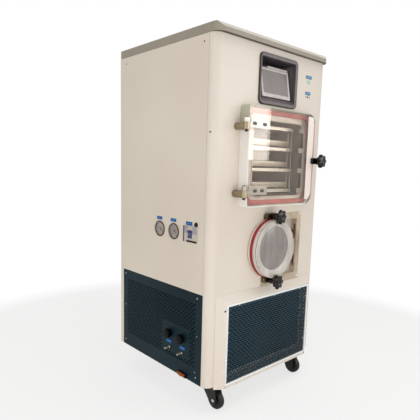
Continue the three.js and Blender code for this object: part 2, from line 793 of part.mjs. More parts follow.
// ---- machinery below the deck ----
const machine = {
  compressor: { x: 120, y: 110, radius: 78, height: 190, lift: 12, rim: 14, dome: 40, mount: 12, foot: 3 },
  condenser: { x: -60, y: front + 60, depth: 46, width: 300, height: 250, border: 12, fins: 9, finBack: 20 },
  fan: { radius: 105, hub: 26, depth: 22, blades: 5, chord: 40, thick: 3, twist: 32, shaft: 5 },
  shroud: { clearance: 8, wall: 4, depth: 34, motorRadius: 20, motorDepth: 6, shaftLength: 30 },
};
const baseTop = sheet + gap;

function compressor() {
  const { x, y, radius, height, lift, rim, dome, mount, foot: footThick } = machine.compressor;
  const z = baseTop + lift;
  const steps = 3;
  const cap = Array.from({ length: steps + 1 }, (_, i) => {
    const a = (i / steps) * (Math.PI / 2);
    return [radius * Math.cos(a), z + height - dome + dome * Math.sin(a)];
  });
  const outline = [[0, z], [radius - rim, z], [radius, z + rim], ...cap.slice(0, -1), [0, z + height]];
  const shell = turned(outline, "z", [x, y, 0], 20);
  const foot = box(x - radius, x + radius, y - radius, y + radius, z - 1, z + footThick);
  const mounts = [-1, 1].flatMap((a) =>
    [-1, 1].map((b) => rod("z", mount, baseTop, z, [x + a * (radius - rim), y + b * (radius - rim), 0], 8)),
  );
  return join(shell, foot, ...mounts);
}

const fanCentre = { x: machine.condenser.x, z: baseTop + machine.condenser.height / 2 };

function condenser() {
  const { x, y, depth, width, height, border, fins, finBack } = machine.condenser;
  const { clearance, wall, depth: deep, motorRadius, motorDepth, shaftLength } = machine.shroud;
  const { radius, shaft } = machine.fan;
  const z0 = baseTop;
  const core = box(x - width / 2, x + width / 2, y, y + depth, z0, z0 + height);
  const pitch = (width - 2 * border) / fins;
  const grooves = Array.from({ length: fins }, (_, i) => {
    const gx = x - width / 2 + border + (i + 0.5) * pitch;
    return box(gx - pitch / 3, gx + pitch / 3, y - 1, y + depth - finBack, z0 + border, z0 + height - border);
  });
  const behind = y + depth;
  const bore = radius + clearance;
  const shroud = cut(
    rod("y", bore + wall, behind - 1, behind + deep, [x, 0, fanCentre.z], 28),
    rod("y", bore, behind, behind + deep + 1, [x, 0, fanCentre.z], 28),
  );
  const motor = rod("y", motorRadius, behind - 1, behind + motorDepth, [x, 0, fanCentre.z], 16);
  const shaftRod = rod("y", shaft, behind, behind + shaftLength, [x, 0, fanCentre.z], 12);
  return join(cut(core, ...grooves), shroud, motor, shaftRod);
}

function fanRotor() {
  const { y, depth: coreDepth } = machine.condenser;
  const { radius, hub, depth, blades, chord, thick, twist, shaft } = machine.fan;
  const y0 = y + coreDepth + machine.shroud.motorDepth + gap;
  const hubBody = rod("y", hub, y0, y0 + depth, [0, 0, 0], 20);
  const flat = box(hub - 4, radius, -thick / 2, thick / 2, -chord / 2, chord / 2);
  const blade = flat.rotate([twist, 0, 0]).translate([0, y0 + depth / 2, 0]);
  const ring = Array.from({ length: blades }, (_, i) => blade.rotate([0, (i * 360) / blades, 0]));
  const bore = rod("y", shaft + gap, y0 - 1, y0 + depth + 1, [0, 0, 0], 12);
  return cut(join(hubBody, ...ring), bore).translate([fanCentre.x, 0, fanCentre.z]);
}

// ---- casters ----
const casterSites = [
  [-caster.frontX, front + caster.fromFront],
  [caster.frontX, front + caster.fromFront],
  [-caster.rearX, rear - caster.fromRear],
  [caster.rearX, rear - caster.fromRear],
];
const axleZ = -caster.height + wheel.radius;
const axleY = (y) => y - caster.trail;

function casterFork(x, y) {
  const { plateX, plateY, plateThick, headRadius, crown, cheek, side } = fork;
  const inner = wheel.width / 2 + side;
  const outer = inner + cheek;
  const top = -plateThick;
  const ay = axleY(y);
  const plate = facing(roundRect(x - plateX, x + plateX, top - gap, -gap, 1), y - plateY, y + plateY);
  const head = rod("z", headRadius, -crown, top, [x, y, 0], 20);
  const outline = polygon([
    [y + 30, -crown],
    [y + 24, -crown - 14],
    [ay + 15, axleZ - 6],
    [ay + 7, axleZ - 13],
    [ay - 7, axleZ - 13],
    [ay - 14, axleZ - 4],
    [ay - 16, axleZ + 14],
    [ay - 4, -crown - 9],
    [y - 22, -crown],
  ]);
  const span = (s) => [x + s * inner, x + s * outer].sort((a, b) => a - b);
  const cheeks = [-1, 1].map((s) => sideways(outline, ...span(s)));
  const bridge = box(x - outer, x + outer, y - 22, y + 30, -crown - cheek, 1 - crown);
  const bore = rod("x", wheel.axleRadius + gap, x - outer - 1, x + outer + 1, [0, ay, axleZ], 12);
  return cut(join(plate, head, ...cheeks, bridge), bore);
}

function casterWheel(x, y) {
  const w = wheel.width / 2;
  const { radius: r, axleRadius, tread } = wheel;
  const reach = w + fork.side + fork.cheek + 3;
  const profile = [
    [0, -reach],
    [axleRadius, -reach],
    [axleRadius, -w],
    [r - 2 * tread - 1, -w],
    [r - tread, 1 - w],
    [r, tread + 1 - w],
    [r, w - tread - 1],
    [r - tread, w - 1],
    [r - 2 * tread - 1, w],
    [axleRadius, w],
    [axleRadius, reach],
    [0, reach],
  ];
  return turned(profile, "x", [x, axleY(y), axleZ], 28);
}

// ---- assembly ----
piece("base_tray", baseTray(), ...finishes.zinc);
piece("machine_deck", machineDeck(), ...finishes.zinc);
piece("front_fascia", frontFascia(), ...finishes.cream);
piece("left_panel", leftPanel(), ...finishes.cream);
piece("left_vent_panel", leftVentPanel(), ...finishes.teal);
piece("right_panel", sidePanel(1, 0, H - gap), ...finishes.cream);
piece("rear_panel", rearPanel(), ...finishes.cream);
piece("lid", lidCover(), ...finishes.lid);
piece("lower_front_frame", lowerFrontFrame(), ...finishes.cream);
piece("front_grille", frontGrille(), ...finishes.teal);
piece("hmi_bezel", hmiBezel(), ...finishes.dark);
piece("hmi_unit", hmiUnit(), ...finishes.panel);

gaugeFromFront.forEach((d, i) => {
  piece(`gauge_case_${i + 1}`, gaugeCase(d), ...finishes.chrome);
  piece(`gauge_pointer_${i + 1}`, gaugePointer(d), ...finishes.black);
});
piece("breaker_body", breakerBody(), ...finishes.panel);
piece("breaker_toggle", breakerToggle(), ...finishes.dark);
valve.fromFront.forEach((d, i) => {
  piece(`valve_knob_${i + 1}`, valveKnob(d), ...finishes.black);
  piece(`drain_nozzle_${i + 1}`, drainNozzle(d), ...finishes.chrome);
});
piece("copper_pipe", copperStub(), ...finishes.copper);

piece("chamber_shell", chamberShell(), ...finishes.steel);
piece("chamber_gasket", gasketRing(), ...finishes.silicone);
piece("chamber_door", chamberDoor(), ...finishes.acrylic);
piece("shelf_rack", shelfRack(), ...finishes.steel);
[0, 1, 2].forEach((level) => piece(`tray_${level + 1}`, foodTray(level), ...finishes.steel));
["lower", "upper"].forEach((where, i) => {
  const z = hinge.postZ[i];
  piece(`hinge_post_${where}`, hingePost(z), ...finishes.steel);
  piece(`hinge_pin_${where}`, hingePin(z), ...finishes.chrome);
  piece(`hinge_leaf_${where}`, hingeLeaf(z), ...finishes.chrome);
});
piece("latch_boss", latchBoss(), ...finishes.chrome);
piece("latch_arm", latchArm(), ...finishes.black);
piece("latch_knob", latchKnob(), ...finishes.black);

piece("trap_surround", trapSurround(), ...finishes.steel);
piece("trap_vessel", trapVessel(), ...finishes.steel);
piece("trap_gasket", trapGasket(), ...finishes.silicone);
piece("trap_disc", trapDisc(), ...finishes.acrylic);
["lower", "upper"].forEach((where, i) => {
  const sign = i === 0 ? -1 : 1;
  piece(`clamp_post_${where}`, clampPost(sign), ...finishes.chrome);
  piece(`clamp_dog_${where}`, clampDog(sign), ...finishes.black);
  piece(`clamp_knob_${where}`, clampKnob(sign), ...finishes.black);
});

piece("compressor", compressor(), ...finishes.black);
piece("condenser", condenser(), ...finishes.zinc);
piece("condenser_fan", fanRotor(), ...finishes.dark);
casterSites.forEach(([x, y], i) => {
  const where = ["front_left", "front_right", "rear_left", "rear_right"][i];
  piece(`caster_fork_${where}`, casterFork(x, y), ...finishes.black);
  piece(`caster_wheel_${where}`, casterWheel(x, y), ...finishes.black);
});

// The latch knob reaches furthest ahead and the drain nozzles furthest to the left.
const reachAhead = knobBack + starKnob.depth + starKnob.crown;
const reachLeft = valve.nozzle;
root.position.set(reachLeft / 2, reachAhead / 2, caster.height);

export default root;
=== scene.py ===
import math

import bmesh
import bpy
from mathutils import Matrix, Vector, geometry


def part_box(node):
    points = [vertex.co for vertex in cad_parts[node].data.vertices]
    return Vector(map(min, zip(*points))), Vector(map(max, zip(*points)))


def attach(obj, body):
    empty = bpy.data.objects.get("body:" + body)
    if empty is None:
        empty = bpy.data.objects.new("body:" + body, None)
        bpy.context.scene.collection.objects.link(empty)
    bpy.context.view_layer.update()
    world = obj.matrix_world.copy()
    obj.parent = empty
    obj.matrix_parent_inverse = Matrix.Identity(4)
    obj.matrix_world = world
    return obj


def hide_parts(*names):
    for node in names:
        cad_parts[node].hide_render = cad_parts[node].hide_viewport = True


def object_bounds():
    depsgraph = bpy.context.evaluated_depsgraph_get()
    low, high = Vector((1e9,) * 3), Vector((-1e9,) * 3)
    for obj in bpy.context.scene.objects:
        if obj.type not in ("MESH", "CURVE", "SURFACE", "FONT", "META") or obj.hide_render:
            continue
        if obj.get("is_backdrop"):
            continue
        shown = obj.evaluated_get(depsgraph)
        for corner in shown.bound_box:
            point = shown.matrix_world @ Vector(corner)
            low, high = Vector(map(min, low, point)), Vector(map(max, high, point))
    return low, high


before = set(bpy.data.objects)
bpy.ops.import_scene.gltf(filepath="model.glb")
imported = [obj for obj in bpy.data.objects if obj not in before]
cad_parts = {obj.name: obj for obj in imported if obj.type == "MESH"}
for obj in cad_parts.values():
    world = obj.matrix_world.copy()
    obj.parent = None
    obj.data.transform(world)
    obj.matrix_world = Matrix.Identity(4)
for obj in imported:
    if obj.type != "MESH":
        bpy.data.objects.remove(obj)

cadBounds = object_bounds()


def paint(red, green, blue):
    # screen colour, 0 to 255, to the linear colour that a socket takes
    shares = (red / 255, green / 255, blue / 255)
    return (*(c / 12.92 if c <= 0.04045 else ((c + 0.055) / 1.055) ** 2.4 for c in shares), 1.0)


# Shader sums: a Value is a node's output, and operators on it add Math nodes.
class Value:
    def __init__(self, finish, socket):
        self.finish, self.socket = finish, socket

    def __add__(self, other):
        return self.finish.maths("ADD", self, other)

    def __sub__(self, other):
        return self.finish.maths("SUBTRACT", self, other)

    def __rsub__(self, other):
        return self.finish.maths("SUBTRACT", other, self)

    def __mul__(self, other):
        return self.finish.maths("MULTIPLY", self, other)

    def __pow__(self, other):
        return self.finish.maths("POWER", self, other)

    def __rpow__(self, other):
        return self.finish.maths("POWER", other, self)

    def __gt__(self, other):
        return self.finish.maths("GREATER_THAN", self, other)

    __radd__ = __add__
    __rmul__ = __mul__


class Finish:
    def __init__(self, name, owner=None):
        if owner is None:
            owner = bpy.data.materials.new(name)
        owner.use_nodes = True
        self.material, self.tree = owner, owner.node_tree
        self.tree.nodes.clear()

    def node(self, kind, settings=None, sockets=None, output=0):
        made = self.tree.nodes.new(kind)
        for key, value in (settings or {}).items():
            if key == "stops":
                ramp = made.color_ramp
                while len(ramp.elements) < len(value):
                    ramp.elements.new(0.5)
                for stop, (place, colour) in zip(ramp.elements, value):
                    stop.position, stop.color = place, colour
            else:
                setattr(made, key, value)
        for key, value in (sockets or {}).items():
            if isinstance(value, Value):
                self.tree.links.new(value.socket, made.inputs[key])
            else:
                made.inputs[key].default_value = value
        return made if output is None else Value(self, made.outputs[output])

    def maths(self, operation, *values):
        return self.node("ShaderNodeMath", {"operation": operation}, dict(enumerate(values)))

    def limit(self, value, low, high):
        sockets = {"Value": value, "From Min": low, "From Max": high}
        return self.node("ShaderNodeMapRange", {"clamp": True}, sockets)

    def blend(self, factor, first, second):
        settings = {"data_type": "RGBA", "clamp_factor": True}
        return self.node("ShaderNodeMix", settings, {0: factor, 6: first, 7: second}, output=2)

    def place(self, stretch=(1, 1, 1)):
        # where a point lies on the resting piece, in metres
        spot = self.node("ShaderNodeTexCoord", output=3)
        if stretch == (1, 1, 1):
            return spot
        return self.node("ShaderNodeVectorMath", {"operation": "MULTIPLY"}, {0: spot, 1: stretch})

    def axis(self, k):
        # how far along its own x, y or z a point lies
        return self.node("ShaderNodeSeparateXYZ", None, {0: self.place()}, output=k)

    def noise(self, scale, detail=2.0, stretch=(1, 1, 1), rough=0.5):
        sockets = {"Vector": self.place(stretch), "Scale": scale, "Detail": detail, "Roughness": rough}
        return self.node("ShaderNodeTexNoise", None, sockets)

    def bump(self, height, depth, strength=1.0):
        return self.node("ShaderNodeBump", None, {"Height": height, "Distance": depth, "Strength": strength})

    def surface(self, **sockets):
        named = {socketNames[key]: value for key, value in sockets.items()}
        return self.node("ShaderNodeBsdfPrincipled", None, named)

    def output(self, shader, kind="ShaderNodeOutputMaterial"):
        self.node(kind, None, {"Surface": shader}, output=None)
        return self.material

    def mixed(self, factor, first, second):
        return self.output(self.node("ShaderNodeMixShader", None, {0: factor, 1: first, 2: second}))


socketNames = {
    "colour": "Base Color",
    "rough": "Roughness",
    "metal": "Metallic",
    "normal": "Normal",
    "clear": "Transmission Weight",
    "bend": "IOR",
    "coat": "Coat Weight",
    "shine": "Specular IOR Level",
    "mirrorTint": "Specular Tint",
}
acrylicBend = 1.49


# finishes, from two tones as screen colours
def powderCoat(name, colour, shade, rough=0.42, peel=0.00006, dust=0.10, shine=0.5):
    # sprayed and baked paint: slow drift of tone, a fine orange peel and a little dust
    f = Finish(name)
    drift = f.noise(2.4, 3.0)
    speck = f.noise(420.0, 3.0)
    grain = f.noise(950.0, 2.0)
    tone = f.blend(f.limit(drift, 0.35, 0.68), paint(*colour), paint(*shade))
    tone = f.blend((speck > 0.68) * dust, tone, paint(*shade))
    return f.output(f.surface(
        colour=tone,
        rough=rough + (drift - 0.5) * 0.12 + (speck - 0.5) * 0.08,
        normal=f.bump(grain + f.noise(260.0, 2.0) * 0.8, peel, 0.5),
        shine=shine,
    ))


def steel(name, colour, shade, rough=0.3, grain=(4, 4, 180), depth=0.00003):
    # sheet or bar metal with a drawn or brushed grain along one direction
    f = Finish(name)
    lines = f.noise(14.0, 6.0, grain, 0.7)
    cloud = f.noise(9.0, 3.0)
    return f.output(f.surface(
        colour=f.blend(f.limit(lines * 0.6 + cloud * 0.4, 0.3, 0.7), paint(*shade), paint(*colour)),
        metal=1.0,
        rough=rough + (lines - 0.5) * 0.16 + (cloud - 0.5) * 0.1,
        normal=f.bump(lines, depth, 0.6),
    ))


def moulding(name, colour, shade, rough=0.35, flecks=None, grain=600.0, depth=0.00005, shine=0.5):
    # injection moulded or cast plastic, plain or with flecks (share, colour)
    f = Finish(name)
    fine = f.noise(grain, 3.0)
    tone = f.blend(f.limit(f.noise(30.0, 3.0), 0.35, 0.65), paint(*colour), paint(*shade))
    if flecks:
        tone = f.blend(f.limit(f.noise(260.0, 2.0), 0.5, 0.62) * flecks[0], tone, paint(*flecks[1]))
    return f.output(f.surface(
        colour=tone,
        rough=rough + (fine - 0.5) * 0.14,
        normal=f.bump(fine, depth, 0.5),
        shine=shine,
    ))


def clearSheet(name, rough, tint, haze=0.0, milkColour=None, mirrorTint=(1, 1, 1, 1)):
    # acrylic or glass; haze is the share of its face that is milky
    f = Finish(name)
    smear = f.noise(22.0, 3.0)
    smeared = rough + (smear - 0.5) * rough * 0.6
    body = f.surface(colour=tint, clear=1.0, bend=acrylicBend, mirrorTint=mirrorTint, rough=smeared)
    if not haze:
        return f.output(body)
    fine = f.bump(f.noise(300.0, 2.0, (6, 6, 1)), 0.00005, 0.5)
    milk = f.surface(colour=paint(*milkColour), rough=0.5, normal=fine)
    return f.mixed(haze + (smear - 0.5) * 0.2, body, milk)


creamPaint = powderCoat("cream powder coat", (228, 218, 205), (222, 210, 197), 0.42, shine=0.25)
lidPaint = powderCoat("lid powder coat", (163, 154, 139), (151, 142, 127), 0.5, 0.0001, 0.1, 0.25)
# the lid's front chamfer is painted lighter than the lid: a painted highlight where it faces the light
lidChamferHighlight = powderCoat("lid chamfer, painted highlight", (202, 196, 185), (188, 181, 170), 0.4, 0.0001)
tealPaint = powderCoat("teal powder coat", (33, 56, 67), (24, 43, 52), 0.5, 0.00008, 0.2, 0.15)
ventPaint = powderCoat("shaded teal coat", (19, 41, 49), (12, 31, 37), 0.5, 0.00008, 0.2, 0.12)
sidePaint = powderCoat("side panel coat", (228, 216, 200), (222, 209, 193), 0.38)
# near white paint as a painted highlight on the frame's inner bead and on the rack's brackets
highlightTrim = powderCoat("trim, painted highlight", (242, 244, 242), (232, 234, 232), 0.3)
lidShade = powderCoat("lid underside", (96, 86, 70), (84, 75, 61), 0.6)
# dark red for the seal's painted reflection and painted shade in the trap recess
gasketReflectionPatch = moulding("recess painted reflection and shade", (128, 66, 56), (98, 50, 44), 0.6)
frameSteel = steel("mottled frame sheet", (206, 190, 170), (132, 116, 94), 0.4, (1.2, 1.2, 1.2), 0.00006)
rimSteel = powderCoat("chamber rim", (222, 212, 200), (206, 196, 184), 0.34, 0.00004, 0.1, 0.6)
# the chamber walls are stainless painted dark brown, far darker than the shelf steel: painted shade inside the
# chamber
chamberShadeSteel = steel("chamber stainless, painted shade", (110, 83, 56), (82, 62, 41), 0.42, (160, 4, 4), 0.00002)
trapSteel = steel("cold trap stainless", (196, 188, 182), (166, 158, 152), 0.45, (60, 5, 5), 0.0001)
recessSteel = powderCoat("recess coat", (208, 197, 181), (176, 163, 145), 0.5, 0.00006, 0.3, 0.4)
plateSteel = steel("shelf plate", (206, 196, 184), (184, 174, 162), 0.42, (160, 4, 4), 0.00002)
traySteel = steel("tray sheet", (190, 181, 168), (162, 152, 138), 0.4, (160, 4, 4), 0.00002)
polishedSteel = steel("polished steel", (226, 224, 218), (196, 192, 184), 0.14, (5, 5, 60), 0.00001)
barSteel = steel("turned bar steel", (164, 150, 126), (134, 121, 100), 0.42, (60, 4, 60), 0.00002)
# the upper leaf is painted near white where the same lower leaf is steel: a painted highlight
upperLeafHighlight = powderCoat("upper hinge leaf, painted highlight", (246, 242, 234), (236, 231, 222), 0.34, 0.00004, 0.1, 0.4)
# dark steel for the painted shade in the hinge leaves' screw slots
slotShade = steel("leaf slot, painted shade", (92, 88, 82), (66, 62, 57), 0.45, (40, 4, 4), 0.00002)
leafSteel = steel("lower hinge leaf", (168, 161, 150), (134, 127, 117), 0.3, (40, 4, 4), 0.00002)
oliveSteel = steel("clamp metal", (150, 134, 110), (58, 48, 40), 0.42, (3, 3, 3), 0.00006)
blackOxide = steel("blackened screw", (70, 62, 54), (44, 40, 36), 0.4, (9, 9, 9), 0.00002)
gaugeRing = steel("gauge ring", (104, 88, 74), (76, 64, 54), 0.4, (30, 30, 30), 0.00002)
drainBrass = steel("drain fitting", (236, 226, 200), (206, 194, 166), 0.4, (30, 30, 30), 0.00002)
zincSheet = steel("zinc plated sheet", (170, 170, 166), (130, 132, 132), 0.42, (9, 9, 9), 0.00002)
copperTube = steel("drawn copper", (170, 92, 50), (104, 54, 32), 0.36, (90, 4, 90), 0.00002)
redSilicone = moulding("red silicone", (158, 30, 34), (128, 20, 26), 0.42)
rosySilicone = moulding("pale red silicone", (194, 92, 88), (172, 74, 72), 0.42)
blackPhenolic = moulding(
    "black phenolic", (14, 11, 10), (9, 7, 7), 0.14, grain=120.0, depth=0.00001, shine=0.26)
valveBlack = moulding("valve knob plastic", (10, 9, 9), (6, 5, 5), 0.5, shine=0.12)
blackPlastic = moulding("black plastic", (18, 15, 14), (12, 10, 10), 0.4, shine=0.25)
bezelPlastic = moulding(
    "flecked bezel casting", (92, 81, 82), (75, 65, 67), 0.5, (0.85, (56, 47, 51)), 420.0, 0.0003)
bezelEdge = moulding("bezel edge", (56, 48, 44), (44, 37, 34), 0.45)
pocketPlastic = moulding("pocket lining", (62, 56, 60), (46, 41, 45), 0.4)
pocketLitWall = moulding(
    "pocket side wall, painted light", (92, 85, 88), (74, 68, 72), 0.42, (0.6, (60, 54, 58)), 420.0, 0.0002)
holeShade = moulding("painted shade in holes", (44, 37, 32), (32, 27, 24), 0.5)
panelPlastic = moulding("touch panel housing", (208, 200, 197), (192, 184, 181), 0.42)
breakerPlastic = moulding("breaker housing", (204, 192, 180), (190, 178, 166), 0.38)
breakerGrey = moulding("breaker upper half", (164, 160, 164), (146, 142, 148), 0.38)
togglePlastic = moulding("breaker toggle", (74, 78, 122), (56, 60, 100), 0.34)
labelBlue = moulding("blue label", (6, 112, 148), (4, 98, 132), 0.4)
sideBlue = moulding("shaded blue label", (4, 92, 158), (3, 80, 142), 0.4, shine=0.25)
labelPale = moulding("label stripe", (74, 154, 194), (58, 138, 182), 0.4)
lampGreen = moulding("green lamp", (158, 218, 176), (132, 204, 154), 0.25)
dialPaper = moulding("gauge dial", (184, 166, 152), (166, 150, 136), 0.5)
dialInk = moulding("dial ink", (70, 62, 58), (58, 52, 50), 0.5)
rubberTread = moulding("caster tread", (18, 14, 12), (12, 9, 9), 0.5, grain=300.0, depth=0.0001, shine=0.3)
casterPaint = powderCoat("caster black coat", (17, 13, 11), (11, 9, 8), 0.4, 0.00005, 0.1, 0.3)
capSteel = steel("axle cap", (206, 204, 200), (170, 168, 164), 0.3)
machinePaint = powderCoat("compressor paint", (46, 46, 48), (30, 30, 32), 0.4)
# near black as painted shade inside the cabinet: the sheets' inner faces, the condenser and the deck
innerShadeSheet = powderCoat("inner metal, painted shade", (26, 27, 28), (17, 18, 19), 0.7, 0.00006, 0.1, 0.1)
doorClear = clearSheet(
    "door acrylic", 0.02, (0.985, 0.955, 0.915, 1), 0.05, (206, 186, 164), (0.86, 0.72, 0.6, 1))
# a milky margin that stands for a bright reflection on the door's face: painted reflection
marginReflection = clearSheet("door margin, painted reflection", 0.3, (0.96, 0.95, 0.93, 1), 0.86, (250, 238, 228))
# a rosy strip on the door's face: the seal seen through the slab's edge as a painted refraction
sealRefraction = moulding("seal refraction, painted", (204, 160, 146), (188, 136, 124), 0.45)
clearMilled = clearSheet("milled acrylic edge", 0.3, (0.93, 0.94, 0.92, 1), 0.75, (230, 220, 214))
gaugeGlass = clearSheet("gauge glass", 0.02, (0.97, 0.97, 0.96, 1))


def veiledSheet(name, haze, colour, shade):
    # acrylic under a milky veil of two tones streaked downward: a painted picture of the shade and reflection
    # behind it
    f = Finish(name)
    run = f.noise(7.0, 3.0, (5, 5, 0.9), 0.5)
    cloud = f.noise(16.0, 3.0)
    veil = f.surface(
        colour=f.blend(f.limit(run * 0.7 + cloud * 0.3, 0.38, 0.62), paint(*shade), paint(*colour)),
        rough=0.36 + cloud * 0.1,
        normal=f.bump(f.noise(200.0, 2.0), 0.00006, 0.5),
    )
    body = f.surface(colour=(0.97, 0.975, 0.965, 1), clear=1.0, bend=acrylicBend, rough=0.05)
    return f.mixed(f.limit(run, 0.3, 0.7) * 0.16 + (haze - 0.08), body, veil)


def slabEdge(split):
    # the milled edge of the door and its seat, coloured with a painted reflection: greenish above the split, in
    # metres, and nearly white below
    f = Finish("milled slab edge, painted reflection")
    up = f.axis(2)
    lines = f.noise(60.0, 3.0, (1, 9, 0.2))
    pale = f.blend(lines, paint(254, 251, 245), paint(240, 235, 227))
    green = f.blend(lines, paint(196, 194, 174), paint(184, 181, 160))
    tone = f.blend(up > split, pale, green)
    veil = f.surface(colour=tone, rough=0.4 + lines * 0.1, normal=f.bump(lines, 0.00006, 0.5))
    body = f.surface(colour=(0.93, 0.94, 0.92, 1), clear=1.0, bend=acrylicBend, rough=0.3)
    return f.mixed(0.9, body, veil)


def screenFace():
    # the switched-off display: grey glass under a faint fog
    f = Finish("touch screen glass")
    fog = f.noise(14.0, 3.0)
    tone = f.blend(f.limit(fog, 0.3, 0.7), paint(132, 123, 117), paint(116, 108, 103))
    tone = f.blend((f.noise(700.0, 1.0) > 0.6) * 0.12, tone, paint(96, 90, 90))
    return f.output(f.surface(colour=tone, rough=0.22 + fog * 0.1, coat=0.5))


trapShadeVeil = veiledSheet("trap cover, painted shade", 0.86, (150, 141, 136), (134, 125, 121))
trapReflectionVeil = veiledSheet("trap cover rim, painted reflection", 0.66, (234, 227, 218), (218, 210, 200))
screenGlass = screenFace()
print("finishes made:", len(bpy.data.materials))


# places
class Side:
    # A flat view of the cabinet. Points on it are (across, up, out) in millimetres.
    def __init__(self, corner, across, up, out):
        self.corner = Vector(corner)
        self.axes = [Vector(v) for v in (across, up, out)]

    def at(self, *spot):
        return self.corner + sum((axis * v for axis, v in zip(self.axes, spot)), Vector()) / 1000

    def reach(self, node):
        # [lowest, highest] across, up and out of a CAD node
        corners = [(p - self.corner) * 1000 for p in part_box(node)]
        return [sorted(p.dot(axis) for p in corners) for axis in self.axes]

    def centre(self, node):
        across, up, _ = self.reach(node)
        return sum(across) / 2, sum(up) / 2


skinLow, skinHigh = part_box("front_fascia")
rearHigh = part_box("rear_panel")[1]
middle = (skinLow.x + skinHigh.x) / 2
east, north, skyward = (1, 0, 0), (0, 1, 0), (0, 0, 1)
front = Side((middle, skinLow.y, skinLow.z), east, skyward, (0, -1, 0))
leftSide = Side(skinLow, north, skyward, (-1, 0, 0))
rightSide = Side((skinHigh.x, skinLow.y, skinLow.z), north, skyward, east)
rearSide = Side((middle, rearHigh.y, skinLow.z), east, skyward, north)
plan = Side(front.corner, east, north, skyward)  # out is the height
lying = Side(front.corner, north, skyward, east)  # out is the distance right of the middle
halfWidth = (skinHigh.x - skinLow.x) * 500
depth = (rearHigh.y - skinLow.y) * 1000
height = (skinHigh.z - skinLow.z) * 1000


# outlines: each gives its points when called with how far it grows
def rounded(a0, a1, u0, u1, radius=0.0, steps=6):
    corners = ((a0, u0, 1, 1), (a1, u0, -1, 1), (a1, u1, -1, -1), (a0, u1, 1, -1))

    def outline(grow=0.0):
        points = []
        for k, (a, u, sa, su) in enumerate(corners):
            if radius == 0:
                points.append((a - sa * grow, u - su * grow))
                continue
            r = max((radius[k] if isinstance(radius, tuple) else radius) + grow, 0.01)
            ca, cu = a + sa * (r - grow), u + su * (r - grow)
            for i in range(steps + 1):
                t = math.radians(180 + 90 * k + 90 * i / steps)
                points.append((ca + r * math.cos(t), cu + r * math.sin(t)))
        return points

    return outline


def circle(a, u, radius, steps=48):
    def outline(grow=0.0):
        turns = [2 * math.pi * i / steps for i in range(steps)]
        return [(a + (radius + grow) * math.cos(t), u + (radius + grow) * math.sin(t)) for t in turns]

    return outline


def roundedLip(low, high, edge):
    # (out, grow) steps of a wall whose two rims are rounded
    turns = (0, math.pi / 6, math.pi / 3, math.pi / 2)
    steps = [(high, -1.6 * edge - 0.3)]  # a ring on the flat keeps its shading flat
    steps += [(high - edge * (1 - math.cos(t)), -edge * (1 - math.sin(t))) for t in turns]
    mirrored = [(low + high - out, grow) for out, grow in reversed(steps)]
    return steps + mirrored


